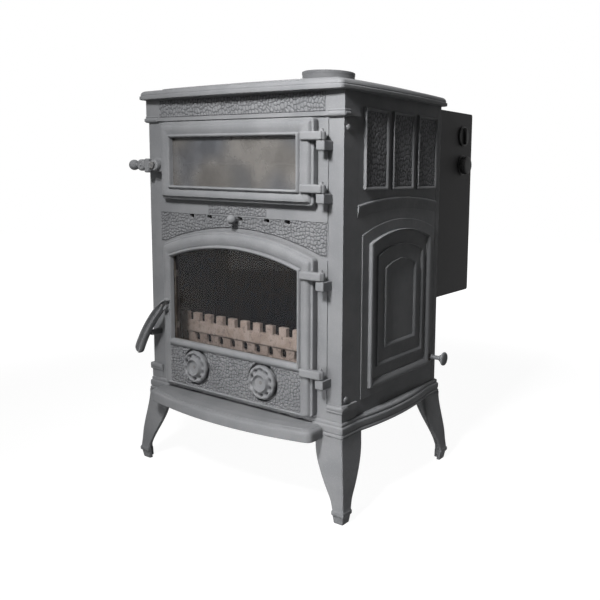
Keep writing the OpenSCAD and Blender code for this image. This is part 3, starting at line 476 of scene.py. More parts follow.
def painted_iron():
    paint = Paint("painted_iron")
    clouds = paint.noise(14.0, 3.0)
    specks = paint.noise(420.0, 2.0)
    groove_shade = paint.node("Attribute", out="Fac", attribute_name="groove_shade")
    tone = paint.blend(paint.step(clouds, 0.3, 0.7), rgb(0.190, 0.194, 0.202), rgb(0.226, 0.229, 0.236))
    tone = paint.blend(paint.step(specks, 0.56, 0.72) * 0.35, tone, rgb(0.29, 0.29, 0.295))
    # painted shade: mixes the colour towards near black where groove_shade is high
    tone = paint.blend(groove_shade * 0.72, tone, rgb(0.050, 0.051, 0.054))
    waves = paint.relief(paint.noise(95.0, 2.0), 0.0005)
    grain = paint.relief(paint.noise(900.0, 2.0), 0.00022, waves)
    return paint.finish(
        Base_Color=tone, Roughness=0.50 + specks * 0.12, Normal=grain, Specular_IOR_Level=0.10
    )


PAINTED = painted_iron()
print(PAINTED.name, len(PAINTED.node_tree.nodes), "nodes")

# %% [markdown]
# Inside, the iron is bare and has seen fire: dark, with rust brown and a blue
# scale in patches, and pale with ash on the log fence. Pins and rods are bare
# iron, thin parts are sheet steel. One recipe makes each of them from two or
# three tones, a patch size and a grain.

# %% Bare metals
def patchy_metal(name, tones, patch, grain, depth, rough, metallic):
    """A metal whose two or three tones run into each other in patches."""
    paint = Paint(name)
    clouds = paint.step(paint.noise(patch, 4.0), 0.38, 0.62)
    tone = paint.blend(clouds, rgb(*tones[0]), rgb(*tones[1]))
    if len(tones) > 2:
        ash = paint.step(paint.noise(patch * 2.7, 3.0), 0.52, 0.70)
        tone = paint.blend(ash, tone, rgb(*tones[2]))
    bump = paint.relief(paint.noise(grain, 3.0), depth)
    return paint.finish(Base_Color=tone, Roughness=rough + clouds * 0.12, Metallic=metallic, Normal=bump)


BURNT_TONES = ((0.009, 0.009, 0.0105), (0.030, 0.021, 0.016), (0.015, 0.0195, 0.030))
SCALED_TONES = ((0.50, 0.43, 0.385), (0.61, 0.545, 0.50), (0.36, 0.31, 0.29))
BARE_TONES = ((0.10, 0.10, 0.105), (0.17, 0.165, 0.16))
STEEL_TONES = ((0.36, 0.36, 0.37), (0.50, 0.50, 0.51))
BURNT = patchy_metal("burnt_iron", BURNT_TONES, 26.0, 120.0, 0.0001, 0.80, 0.0)
SCALED = patchy_metal("scaled_iron", SCALED_TONES, 40.0, 420.0, 0.0004, 0.80, 0.0)
BARE = patchy_metal("bare_iron", BARE_TONES, 120.0, 700.0, 0.0002, 0.45, 0.6)
STEEL = patchy_metal("sheet_steel", STEEL_TONES, 60.0, 900.0, 0.00001, 0.38, 1.0)
print("metals ready")

# %% [markdown]
# The box at the back is folded black sheet with a fine powder coat. Its knobs,
# controls and inlet are moulded black plastic.

# %% Black sheet and plastic
def coated(name, dark, light, grain, depth, rough):
    """A coat that varies between two close tones, with a fine orange-peel grain."""
    paint = Paint(name)
    peel = paint.noise(grain, 2.0)
    tone = paint.blend(paint.noise(18.0, 2.0), rgb(*dark), rgb(*light))
    bump = paint.relief(peel, depth)
    return paint.finish(
        Base_Color=tone, Roughness=rough + peel * 0.15, Normal=bump, Specular_IOR_Level=0.12
    )


SHEET = coated("black_sheet", (0.030, 0.030, 0.031), (0.040, 0.039, 0.040), 1400.0, 0.00008, 0.50)
PLASTIC = coated("black_plastic", (0.018, 0.018, 0.018), (0.024, 0.024, 0.025), 2500.0, 0.00003, 0.38)
print("coats ready")

# %% [markdown]
# Door ropes are knitted glass fibre, pale and a little sooty. A fine wave across
# the strand stands for its knit, as a bump, and its low parts are painted darker
# as painted shade between the strands.

# %% Rope
def glass_rope():
    paint = Paint("rope")
    knit = paint.node(
        "TexWave", {"Vector": paint.place(), "Scale": 260.0, "Distortion": 4.0, "Detail": 2.0},
        out="Fac", bands_direction="DIAGONAL",
    )
    soot = paint.step(paint.noise(30.0, 3.0), 0.35, 0.75)
    tone = paint.blend(soot, rgb(0.50, 0.48, 0.43), rgb(0.22, 0.20, 0.18))
    # painted shade: darker where the knit's wave is low
    tone = paint.blend((1 - knit) * 0.5, tone, rgb(0.12, 0.11, 0.10))
    return paint.finish(Base_Color=tone, Roughness=0.95, Normal=paint.relief(knit, 0.0007))


ROPE = glass_rope()
print("rope ready")

# %% [markdown]
# Stove windows are thin ceramic glass with a faint warm tint. A thin pane barely
# bends light, so it is a clear shader that lets shadows through, mixed with a
# mirror whose share follows the angle of view, under an uneven film of smoke. On
# the oven window that film is mostly a painted reflection: blue-grey and tan
# patches that cover much of the pane.

# %% Ceramic glass
def ceramic_glass(name, body_tone, haze, film_tones):
    """Clear and mirror mixed by 0.01 + 0.9 (1 - cos)^5, under a film of smoke and painted reflection that
    covers haze (0.5 + 0.5 cover).
    """
    paint = Paint(name)
    smoke_and_reflection_cover = paint.step(paint.noise(16.0, 3.0), 0.35, 0.8)
    patches = paint.step(paint.noise(9.0, 0.5), 0.32, 0.68)
    film = paint.node("BsdfPrincipled", {
        "Base Color": paint.blend(patches, rgb(*film_tones[0]), rgb(*film_tones[1])),
        "Roughness": 0.35, "Metallic": 0.0, "Specular IOR Level": 0.1,
    })
    clear = paint.node("BsdfTransparent", {"Color": rgb(*body_tone)})
    mirror = paint.node("BsdfGlossy", {"Color": rgb(1, 1, 1), "Roughness": 0.03})
    edge = paint.node("LayerWeight", {"Blend": 0.5}, out="Facing")
    square = edge * edge
    bright = paint.node("MixShader", {0: square * square * edge * 0.9 + 0.01, 1: clear, 2: mirror})
    surface = paint.node("MixShader", {0: (smoke_and_reflection_cover * 0.5 + 0.5) * haze, 1: bright, 2: film})
    paint.node("OutputMaterial", {"Surface": surface})
    return paint.material


FIRE_FILM = ((0.030, 0.034, 0.046), (0.055, 0.047, 0.040))
# painted reflection: the oven window's blue-grey and tan patches stand for what the pane reflects, with some
# smoke
OVEN_SMOKE_AND_REFLECTION = ((0.165, 0.172, 0.188), (0.232, 0.220, 0.206))
FIRE_GLASS = ceramic_glass("stove_glass", (0.88, 0.86, 0.85), 0.10, FIRE_FILM)
OVEN_GLASS = ceramic_glass("oven_glass", (0.72, 0.71, 0.71), 0.68, OVEN_SMOKE_AND_REFLECTION)
print("glass ready")

# %% [markdown]
# Frame nodes whose shape is already right only need their finish. They are the
# plain plates, rods, bolts, ropes and boxes, most of them inside.

# %% Finish the frame's own nodes
DRESSED = (
    (BURNT, ("shaker_bush", "ash_box", "ash_pan", "firebox_floor", "liner_left", "liner_right", "liner_rear",
             "baffle_plate", "grate")),
    (BARE, ("tie_rods", "oven_hinge_pins", "fire_hinge_pins", "oven_latch_screw", "dial_spindles",
            "air_slider")),
    (STEEL, ("oven_box", "oven_shelf", "blower_motor", "blower_wheel", "oven_glass_clips",
             "fire_glass_clips")),
    (PLASTIC, ("control_bodies", "power_inlet")),
    (ROPE, ("oven_door_ropes", "fire_door_ropes")),
    (FIRE_GLASS, ("fire_door_glass",)),
    (OVEN_GLASS, ("oven_door_glass",)),
    (SHEET, ("rear_housing",)),
    (PAINTED, ("front_frame", "leg_bolts", "collar_bolts", "corner_bolts")),
)
for finish, nodes in DRESSED:
    for node in nodes:
        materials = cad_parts[node].data.materials
        materials.clear()
        materials.append(finish)
print(sum(len(nodes) for _, nodes in DRESSED), "nodes dressed")

# %% [markdown]
# Other frame nodes are right but too sharp: sand casting leaves every edge a
# little round. For these the faces of a copy of the node's mesh are joined up,
# and a Bevel rounds every edge between them that turns sharply.

# %% Softened copies
WELD_M = 0.00002  # points nearer than this are one point
BEVEL_ANGLE = np.radians(32.0)


def softened(node, name, width, finish=PAINTED):
    """A copy of a frame node with rounded edges, which stands for it."""
    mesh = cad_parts[node].data.copy()
    mesh.name = name
    work = bmesh.new()
    work.from_mesh(mesh)
    bmesh.ops.remove_doubles(work, verts=work.verts, dist=WELD_M)
    work.to_mesh(mesh)
    work.free()
    made = bpy.data.objects.new(name, mesh)
    bevel = made.modifiers.new("cast edge", "BEVEL")
    bevel.width, bevel.segments = width * MM, 2
    bevel.limit_method, bevel.angle_limit = "ANGLE", BEVEL_ANGLE
    bevel.use_clamp_overlap = False
    bevel.miter_outer = "MITER_ARC"
    return settle(made, finish, (node,), "root")


softened("back_panel", "back_casting", 1.0)
softened("latch_keepers", "keeper_blocks", 1.5)
softened("log_retainer", "log_fence", 1.0, SCALED)
softened("oven_hinge_brackets", "oven_brackets", 1.2)
softened("fire_hinge_brackets", "fire_brackets", 1.2)
print("softened copies made")

# %% [markdown]
# The base is a shallow tray that all else stands in. Its rim has a lower lip, a
# plain band and a bead, and its left and right sides bow outwards. The bow is added
# by formula: x grows by sqrt(R^2 - y^2) - (R - rise) where that is positive.

# %% Base
base_lo, base_hi = box("base_plate")
BASE_BOW = 13.0
BASE_BOW_END = 60.0
BASE_FLOOR, BASE_WALL = 8.0, 8.0
BASE_H = base_hi[2] - base_lo[2]
BASE_SECTION = (
    (8, 0), (1.5, 0), (0.4, 1), (0, 3), (0.4, 5.5), (1.6, 6.6), (2.2, 7.6), (1.6, 9), (0.8, 10.5), (0.8, 19),
    (1.2, 21), (2.6, 22.4), (3.6, 23.4), (3.6, 25.2), (3.2, 26.4), (3.4, 28.6), (4.6, 30.6),
    (6.6, BASE_H - 0.4), (9.5, BASE_H),
)


def bowed(shape, half_chord, rise):
    """Pushes an outline's left and right sides outwards by a shallow arc."""
    radius = (half_chord**2 + rise**2) / (2 * rise)
    arc = np.sqrt(np.maximum(radius**2 - shape[:, 1] ** 2, 0)) - (radius - rise)
    out = shape.copy()
    out[:, 0] += np.sign(shape[:, 0]) * np.maximum(arc, 0) * (np.abs(shape[:, 1]) < half_chord)
    return out


def base_loop(inset, h):
    """The base's rim outline, drawn in by inset, h above its underside."""
    half_x, half_y = base_hi[0] - BASE_BOW - inset, base_hi[1] - inset
    shape = rect(-half_x, -half_y, half_x, half_y, 5.0)
    return on_plan(bowed(shape, half_y - BASE_BOW_END, BASE_BOW), base_lo[2] + h)


base_hollow = rect(BASE_WALL - HALF, BASE_WALL + FACE, HALF - BASE_WALL, BACK - BASE_WALL, 4.0)
loops = [base_loop(inset, h) for inset, h in BASE_SECTION]
loops += [on_plan(base_hollow, z) for z in (base_hi[2], base_lo[2] + BASE_FLOOR)]
piece("base_casting", [loft(loops)], ("base_plate",))

# %% [markdown]
# Each leg is a square-edged cabriole: broad under the base, drawn in to an ankle
# with a collar, and kicked outwards at the foot. It is cast as an angle of two
# equal walls, open towards the stove's middle, so one table of height, kick of
# the outer corner and width of the walls makes all four. Between the rows of the
# upper table the numbers run along smooth cubic curves.

# %% Legs
LEG_TOP = base_lo[2]
LEG_FOOT_ROWS = ((0, 20.4, 21.6), (0.006, 21.2, 23), (0.10, 24, 26.9), (0.106, 25.8, 29), (0.118, 27, 30.8),
                 (0.150, 27, 30.8), (0.160, 26.2, 29.4), (0.168, 25, 28))
LEG_ROWS = ((0.168, 25, 28), (0.28, 23, 32.6), (0.41, 21.2, 43.8), (0.49, 19.5, 50.5), (0.59, 17, 57.8),
            (0.7, 14, 64.0), (0.82, 11, 67.6), (0.93, 9, 68), (1.0, 9, 68))
LEG_STEPS = 28
LEG_WALL, LEG_ROUND = 9.0, 2.4
LUG_START, LUG_END, LUG_H = -4.0, 46.0, 6.0  # the lug in a leg's top, that its bolt holds


def smooth_rows(rows, count):
    """Samples a table along cubic Hermite curves whose slopes are those of its neighbours."""
    rows = np.asarray(rows, float)
    slope = np.gradient(rows, axis=0)
    s = np.linspace(0, len(rows) - 1, count)
    k = np.minimum(s.astype(int), len(rows) - 2)
    f = (s - k)[:, None]
    return (
        (2 * f**3 - 3 * f**2 + 1) * rows[k]
        + (f**3 - 2 * f**2 + f) * slope[k]
        + (3 * f**2 - 2 * f**3) * rows[k + 1]
        + (f**3 - f**2) * slope[k + 1]
    )


def angle_section(width):
    """An angle with two equal arms along X and Y, its outer corner at 0, 0."""
    w, t = width, LEG_WALL
    corners = np.array(((0, 0), (w, 0), (w, t), (t, t), (t, w), (0, w)))
    along = np.roll(corners, -1, axis=0) - corners
    along = LEG_ROUND * along / np.linalg.norm(along, axis=1, keepdims=True)
    before, after = corners - np.roll(along, 1, axis=0), corners + along
    s = np.linspace(0, 1, 4)[:, None]
    return corner_curve(before[:, None], corners[:, None], after[:, None], s).reshape(-1, 2)


def leg_parts(side, end):
    """One leg: side is -1 left or 1 right, end is -1 front or 1 rear."""
    loops = []
    for share, kick, width in np.concatenate((LEG_FOOT_ROWS, smooth_rows(LEG_ROWS, LEG_STEPS)[1:])):
        corner = np.array((side * (HALF + kick), end * (BACK + kick)))
        shape = corner - angle_section(width) * (side, end)
        loops.append(on_plan(shape[::side * end], share * LEG_TOP))
    x0, x1 = sorted(side * (HALF - inset) for inset in (LUG_START, LUG_END))
    y0, y1 = sorted(end * (BACK - inset) for inset in (LUG_START, LUG_END))
    return [loft(loops), block((x0, y0, LEG_TOP - LUG_H), (x1, y1, LEG_TOP - 0.3), 1.5, 2)]


for side, hand in ((-1, "left"), (1, "right")):
    for end, place in ((-1, "front"), (1, "rear")):
        node = f"leg_{place}_{hand}"
        piece(f"{node}_casting", leg_parts(side, end), (node,))

# %% [markdown]
# The ash apron is a shelf in front of the fire door that catches embers. It has
# a bowed front, round corners, a rounded nose and a raised middle.

# %% Ash apron
apron_lo, apron_hi = box("ash_apron")
APRON_BOW = 30.0
APRON_RADII = (12.0, 12.0, 1.0, 1.0)
APRON_SECTION = (
    (10, 8), (10, 0.6), (1.6, 0), (0.5, 0.5), (0, 1.8), (0, 15.5), (0.5, 16.2), (0.5, 17.6), (0.9, 19.4),
    (2.2, 21.4), (4.2, 22.8), (7.2, 23.6), (8.4, 23.8), (9.0, 24.8), (10.4, 25.2), (22, 26.2),
    (30, apron_hi[2] - apron_lo[2]),
)


def apron_loop(inset, h):
    """The apron's plan, drawn in on all sides but its back, h above its underside."""
    half, front = apron_hi[0] - inset, apron_lo[1] + APRON_BOW + inset
    shape = rect(-half, front, half, apron_hi[1], APRON_RADII, (APRON_BOW, 0, 0, 0))
    return on_plan(shape, apron_lo[2] + h)


piece("apron_casting", [loft([apron_loop(inset, h) for inset, h in APRON_SECTION])], ("ash_apron",))

# %% [markdown]
# The top plate overhangs the body. Its edge is a small nose below a long hollow
# curve, its front and sides bow a little, and a raised field lies on top. It is
# one ring-shaped solid, because the flue passes through it: the innermost
# outline is the flue hole, and the last one joins the first underneath.

# %% Top plate
plate_lo, plate_hi = box("top_plate")
PLATE_BOW = 10.0
PLATE_HALF = 290.0
PLATE_H = plate_hi[2] - plate_lo[2]
FLUE_Y = middle("flue_collar")[1]
FLUE_HOLE = 54.0
PLATE_EDGE = ((2.4, 0), (0.7, 0.5), (0, 1.8), (0, 7.0), (0.5, 8.0), (1.7, 8.6), (2.3, 9.2), (2.3, 10.0),
              (1.9, 10.6), (2.2, 12.6), (3.2, 15.2), (5.0, 17.6), (7.6, 19.2), (10.6, 19.9), (14, 20))
PLATE_FIELD = ((34, 20, 7), (35, 20.8, 7), (36.4, PLATE_H - 2, 6), (38, PLATE_H - 0.5, 6), (41, PLATE_H, 5))


def plate_loop(inset, h, radius=9.0):
    """The plate's outline, h above its underside; its sides keep their bow as it is drawn in."""
    half = PLATE_HALF - inset
    front, back = plate_lo[1] + PLATE_BOW + inset, plate_hi[1] - inset
    shape = rect(-half, front, half, back, radius, (PLATE_BOW, PLATE_BOW, 0, PLATE_BOW))
    return on_plan(shape, plate_lo[2] + h)


def flue_circle(radius, h):
    """A circle with a point on the ray from the flue's middle to each point of the plate's edge."""
    edge = plate_loop(0, h)
    angle = np.arctan2(edge[:, 1] - FLUE_Y, edge[:, 0])
    return np.column_stack((radius * np.cos(angle), FLUE_Y + radius * np.sin(angle), edge[:, 2]))


loops = [plate_loop(*row) for row in PLATE_EDGE + PLATE_FIELD]
loops += [flue_circle(FLUE_HOLE, h) for h in (PLATE_H, 0)]
piece("top_casting", [ring(loops)], ("top_plate",))

# %% [markdown]
# The flue collar is a short cast pipe with a flange and two bolted ears. The pipe
# is turned; each ear is an oval lug with a rounded top edge.

# %% Flue collar
collar_lo, collar_hi = box("flue_collar")
COLLAR_OUT, COLLAR_IN = 65.0, 60.0
COLLAR_H = collar_hi[2] - collar_lo[2]
COLLAR_SECTION = (
    (COLLAR_IN, 0), (COLLAR_OUT + 5, 0), (COLLAR_OUT + 5, 5), (COLLAR_OUT + 3.6, 6.4), (COLLAR_OUT + 1, 7.6),
    (COLLAR_OUT - 0.6, 10), (COLLAR_OUT - 1, COLLAR_H - 9), (COLLAR_OUT - 0.6, COLLAR_H - 7.5),
    (COLLAR_OUT, COLLAR_H - 6), (COLLAR_OUT, COLLAR_H - 1.2), (COLLAR_OUT - 1, COLLAR_H),
    (COLLAR_IN + 1, COLLAR_H), (COLLAR_IN, COLLAR_H - 1),
)
EAR_X, EAR_R, EAR_T = 80.0, 13.0, 8.0
EAR_SECTION = ((0.6, 0), (0, 0.6), (0, EAR_T - 1.6), (0.5, EAR_T - 0.5), (1.6, EAR_T))


def ear_part(side):
    """A lug with a round end, let into the pipe's side."""
    x0, x1 = sorted((side * (COLLAR_IN + 2), side * (EAR_X + EAR_R)))
    radii = (2, 11.5, 11.5, 2) if side > 0 else (11.5, 2, 2, 11.5)
    loops = []
    for inset, h in EAR_SECTION:
        shape = rect(x0 + inset, FLUE_Y - EAR_R + inset, x1 - inset, FLUE_Y + EAR_R - inset, radii)
        loops.append(on_plan(shape, collar_lo[2] + h))
    return loft(loops)


t = np.linspace(0, 2 * np.pi, 96, endpoint=False)
circle = np.column_stack((np.cos(t), np.sin(t), 0 * t))
pipe = ring([r * circle + (0, FLUE_Y, collar_lo[2] + h) for r, h in COLLAR_SECTION])
piece("collar_casting", [pipe, ear_part(-1), ear_part(1)], ("flue_collar",))

# %% [markdown]
# Each side casting is a plain wall with a low arched plate on it, and on that
# stand nested arched frames. Each frame is one moulding section carried round an
# arched outline, so light from the front draws a bright line down each flank.

# %% Side walls and frames
RELIEF_FRONT, RELIEF_REAR = 20.0, 7.0
RELIEF_W = REAR_SEAM - SEAM - RELIEF_FRONT - RELIEF_REAR
RELIEF_Y = SEAM + RELIEF_FRONT + RELIEF_W / 2
RELIEF_FACE = HALF + 2.0
WALL_SECTION = ((0, -8), (0, -1.0), (0.3, -0.3), (1.0, 0))
LOW_PLATE = (232, 572, 28)  # foot, spring line and rise
LOW_PLATE_SECTION = ((0, -1), (0, 1.0), (0.3, 1.6), (1.2, 2.0))
ROUND_SECTION = ((0, -1.5), (0, 0), (0.04, 4.6), (0.12, 6.4), (0.26, 7.2), (0.44, 7.0), (0.64, 5.6),
                 (0.84, 3.2), (0.97, 1.0), (1, -1.5))
NARROW_SECTION = ((0, -1.5), (0, 0), (0.08, 3.2), (0.26, 4.0), (0.52, 3.7), (0.80, 2.2), (1, 0.4), (1, -1.5))
SIDE_FRAMES = (  # inset, foot, spring line, rise, width and section
    (21, 250, 554, 24, 17, ROUND_SECTION),
    (51, 290, 526, 20, 9, NARROW_SECTION),
    (81, 326, 498, 16, 9, NARROW_SECTION),
)


def arched_side(half, foot, spring, rise, radius=2.0):
    """An arch-headed outline in Y and Z about the relief's middle."""
    return rect(RELIEF_Y - half, foot, RELIEF_Y + half, spring, radius, (0, 0, rise, 0))


def moulding(outer, inner, rows, place, level, sign=1.0):
    """Carries a section round a frame: row (t, h) lies t of the way from outer to inner, h off level."""
    return ring([place((1 - t) * outer + t * inner, level + sign * h) for t, h in rows])


def side_plate():
    """The wall itself and the low arched plate that the frames stand on."""
    half = RELIEF_W / 2 + 2
    foot, spring, rise = LOW_PLATE
    wall = [on_side(rect(SEAM + inset, BODY_FOOT, REAR_SEAM - inset, BODY_TOP, 1.0), HALF + h)
            for inset, h in WALL_SECTION]
    plate = [on_side(arched_side(half - inset, foot + inset, spring - inset, rise), HALF + h)
             for inset, h in LOW_PLATE_SECTION]
    return [loft(wall), loft(plate)]


def side_frames():
    """The nested frames of the right-hand side."""
    half, parts = RELIEF_W / 2, []
    for inset, foot, spring, rise, width, section in SIDE_FRAMES:
        outer = arched_side(half - inset, foot, spring, rise, 2.5)
        inner = arched_side(half - inset - width, foot + width, spring, rise - width * 0.1, 1.5)
        parts.append(moulding(outer, inner, section, on_side, RELIEF_FACE))
    return parts


print(len(SIDE_FRAMES), "nested frames, relief", round(RELIEF_W, 1), "mm wide")

# %% [markdown]
# A long curved ledge, the brow, runs over the frames from end to end. Its upper
# edge is sharp and its underside fades into the wall, so it is a section
# carried along an arc and closed by flat ends, not a ring.

# %% Side brow
BROW_R, BROW_Z, BROW_AHEAD = 900.0, 647.0, 4.0
BROW_SECTION = np.array(((0, -1), (0, 2.2), (-0.8, 3.4), (-2.4, 4.0), (-5, 3.9), (-11, 2.7), (-18, 1.2),
                         (-25, 0.2), (-26, -1)))


def side_brow():
    """An arched ledge: top z = centre + sqrt(R^2 - (y - y0)^2), sharp above and fading out below."""
    y = np.linspace(SEAM + 1, REAR_SEAM - 1, 60)[:, None]
    top = BROW_Z - BROW_R + np.sqrt(BROW_R**2 - (y - RELIEF_Y + BROW_AHEAD) ** 2)
    down, out = BROW_SECTION.T
    return loft(np.stack((HALF + out + 0 * y, y + 0 * out, top + down), -1))


print("brow", BROW_Z, "mm above the floor")

# %% [markdown]
# Three tall panels with raised borders fill the top of the wall, and their floors
# are pebbled. With them the right-hand casting is complete, and the left-hand one
# is its other hand, turned over point by point so that its faces stay outwards.

# %% Side panels and both side castings
PANEL_GAP = 17.0
PANEL_FOOT, PANEL_TOP = 662.0, BODY_TOP - 27.0
PANEL_BORDER = 8.0
BORDER_SECTION = ((0, -1), (0, 0.2), (0.07, 4.6), (0.24, 5.8), (0.50, 5.6), (0.76, 4.2), (1, 1.2), (1, -1))


def side_panels():
    """Three bordered panels, with pebbles that are taller than they are wide."""
    width = (RELIEF_W - 2 * PANEL_GAP) / 3
    borders, fields = [], []
    for i in (-1, 0, 1):
        y = RELIEF_Y + i * (width + PANEL_GAP)
        y0, y1, z0, z1 = y - width / 2, y + width / 2, PANEL_FOOT, PANEL_TOP
        outer, b = rect(y0, z0, y1, z1, 2.5), PANEL_BORDER
        inner = rect(y0 + b, z0 + b, y1 - b, z1 - b, 1.0)
        borders.append(moulding(outer, inner, BORDER_SECTION, on_side, HALF))
        b -= 1
        fields.append(pebbled_rect(
            (y0 + b, z0 + b), (y1 - b, z1 - b), on_side, HALF + 1.4, (1, 0, 0), 1.35, 3.0 + i
        ))
    return borders, fields


borders, fields = side_panels()
right = side_plate() + side_frames() + [side_brow()] + borders
for hand, turn in (("right", lambda part: part), ("left", mirrored)):
    piece(f"side_casting_{hand}", [turn(part) for part in right], (f"side_panel_{hand}",))
    for name, part in zip(("front", "middle", "rear"), fields):
        piece(f"side_pebbles_{hand}_{name}", [turn(part)])

# %% [markdown]
# The front casting is kept from the frame, because its openings, steps and lips
# are all there. What is laid on it is what a pattern maker carves: pebbled fields
# in the cap band, in the middle of the strip and over the fire door's arch, and
# the beads at the capitals and feet of the posts.

# %% Pebbled fields of the front
AHEAD = (0, -1, 0)
ARCH_Z = -68.0  # the centre of all arches in front, below the floor line
ARCH_FIELD_R = 640.0
ARCH_SHOULDER = 223.0  # where the field's lower edge turns level
CAP_FACE = FACE - 4.2
STRIP_FACE = FACE - 3.0
FIELD_FACE = FACE - 1.5
CAP_FIELD = ((-238, 812.5), (238, 849.5))  # lowest and highest corner, X and Z
STRIP_FIELD = ((-85, 602), (85, 620))
FIELD_HALF = 242.0
VENT_LINE, VENT_DROP = 599.0, 9.6
VENTS = ((-140, 10), (-84, 10), (0, 18), (84, 10), (140, 10))


def arch_field():
    """Pebbles between z = z0 + sqrt(R^2 - x^2), level at its ends, and the vent line with its notches."""
    x = np.linspace(-FIELD_HALF, FIELD_HALF, 390)[:, None]
    low = ARCH_Z + np.sqrt(ARCH_FIELD_R**2 - np.minimum(np.abs(x), ARCH_SHOULDER) ** 2) + 1.0
    high = np.full(x.shape, VENT_LINE - 1.0)
    for centre, reach in VENTS:
        near = np.clip((reach + 1.5 - np.abs(x - centre)) / 3.0, 0, 1)
        high -= VENT_DROP * near * near * (3 - 2 * near)
    z = low + (high - low) * np.linspace(0, 1, 56)
    x = x + 0 * z
    # rim keeps the lowest rows flat, so groove_shade is 1 there: a painted shadow line along the top of the
    # door's arch
    rim = np.clip((z - low) / 1.6 - 0.6, 0, 1)
    points = on_front(np.stack((x, z), -1), FIELD_FACE)
    return relief_slab(points, AHEAD, PEBBLE_RISE * rim * pebbles(x, z, 0.95, 8.0))


piece("cap_pebbles", [pebbled_rect(*CAP_FIELD, on_front, CAP_FACE, AHEAD, 1.25, 5.0)])
piece("strip_pebbles", [pebbled_rect(*STRIP_FIELD, on_front, STRIP_FACE, AHEAD, 0.9, 6.0)])
piece("arch_pebbles", [arch_field()])

# %% [markdown]
# Capital and foot beads wrap the corner of each post. They are rounded bars let
# into the casting, with a thinner bar along the whole width under the cap band.

# %% Beads of the posts
BEAD_FOOT, BEAD_TOP = 804.0, 811.0
BEAD_REACH_BACK = 15.0  # how far a bead runs along the body's side
POST_BEADS = (  # reach, foot, top, edge radius and inner end
    (8.4, BEAD_FOOT - 2.5, BEAD_TOP + 2, 6.0, 243),
    (5.6, BEAD_TOP + 1, BEAD_TOP + 5.5, 2.1, 243),
    (8.0, 223, 236, 6.0, 245),
    (4.6, 218, 223.5, 2.4, 245),
)

parts = [block((-HALF - 5, FACE - 5.4, BEAD_FOOT - 0.5), (HALF + 5, FACE + 10, BEAD_TOP + 1.5), 3.9, 4)]
for side in (-1, 1):
    for reach, z0, z1, radius, inner in POST_BEADS:
        x0, x1 = sorted((side * inner, side * (HALF + reach)))
        parts.append(block((x0, FACE - reach, z0), (x1, FACE + BEAD_REACH_BACK, z1), radius, 4))
piece("post_beads", parts)

# %% [markdown]
# The oven door is a cushion-shaped frame: it swells from a small outer lip, falls
# towards the window and ends in a fine raised lip round the glass. Its back has a
# rebate for the glass and a groove for the rope. All of that is one closed
# section, so the frame is one ring.

# %% Oven door
oven_lo, oven_hi = box("oven_door_frame")
OVEN_WINDOW = (661.0, 766.0)
ROPE_IN, ROPE_W = 8.0, 8.0
CUSHION_END = 8.5  # how far from the window the cushion ends
OVEN_LUGS = (655.3, 756.3)  # feet of the knuckles
LATCH_EAR = np.array(((-243, -16, 689), (-208, -1, 721)))  # its corners, Y from the door's back
CUSHION = ((0.36, 20.9), (0.5, 21.4), (0.64, 21.3), (0.78, 20.6), (0.9, 19.6), (1, 18.8))
OUTER_LIP = ((0, 0), (0, 11.4), (0.8, 13), (2.2, 13.6), (4.8, 13.8), (5.6, 14.8), (6.6, 17.4), (8.6, 19.4))
WINDOW_LIP = ((7.6, 18.4), (7.2, 19.6), (6.4, 21.8), (5, 23.6), (3.4, 24.4), (1.6, 23.8), (0.4, 22),
              (0, 19.5), (0, 12))


def oven_edge(inset):
    """The oven door's outline, drawn in by inset."""
    half = DOOR_HALF - inset
    return rect(-half, oven_lo[2] + inset, half, oven_hi[2] - inset, max(9.0 - inset, 3.0))


def oven_hole(grow):
    """The oven window's outline, grown by an amount."""
    half = WINDOW_HALF + grow
    return rect(-half, OVEN_WINDOW[0] - grow, half, OVEN_WINDOW[1] + grow, 2.0 + 0.3 * grow)


def between(outer, inner, rows):
    """Outlines that lie t of the way from outer to inner, each with how far forward it is."""
    return [((1 - t) * outer + t * inner, forward) for t, forward in rows]


def door_behind(edge, hole, rope_in):
    """Rows of the rebate, the land and the rope's groove, back to the outer edge."""
    glass, land = hole(GLASS_GROW), hole(LAND_GROW)
    far, near = edge(rope_in + ROPE_W), edge(rope_in)
    return [(glass, 12), (glass, 5), (land, 5), (land, 0), (far, 0), (far, 5), (near, 5), (near, 0)]


def door_ring(rows):
    """One closed ring from rows of an outline and how far it lies forward of the door's back."""
    return ring([on_front(loop, DOOR_BACK - forward) for loop, forward in rows])


STRAP_START, KNUCKLE_H = 194.0, 18.0
KNUCKLE = ((6.6, 0.3), (7.6, 1.2), (7.8, 3), (7.8, 14.6), (7.2, 16.4), (5.8, 17.6), (3.75, KNUCKLE_H))
PIN_HEAD = ((3.7, 17), (3.7, 21.4), (3.0, 22.2), (1.6, 22.6))


def lug_parts(levels):
    """A door's knuckles: a strap from the door's face, the barrel round each pin, and the pin's head."""
    x, y, _ = middle("oven_hinge_pins")
    parts = []
    for z in levels:
        parts += [
            block((STRAP_START, y - 10.2, z + 0.4), (x + 5.5, y + 4, z + KNUCKLE_H - 0.6), 3.6, 3),
            turned(KNUCKLE, (x + 0.3, y, z), (0, 0, 1), 40),
            turned(PIN_HEAD, (x, y, z), (0, 0, 1), 24),
        ]
    return parts


rows = [(oven_edge(inset), forward) for inset, forward in OUTER_LIP]
rows += between(oven_edge(0), oven_hole(CUSHION_END), CUSHION)
rows += [(oven_hole(grow), forward) for grow, forward in WINDOW_LIP]
rows += door_behind(oven_edge, oven_hole, ROPE_IN)
latch_ear = block(*(LATCH_EAR + (0, DOOR_BACK, 0)), 4, 3)
parts = [door_ring(rows), latch_ear] + lug_parts(OVEN_LUGS)
piece("oven_door_casting", parts, ("oven_door_frame",), "oven_door")

# %% [markdown]
# The fire door has the same cushion round an arched outline, and a half-round
# sill under its window. The cushion ring runs behind the panel under the sill as
# one plate, with the glass rebate and rope groove at its back.

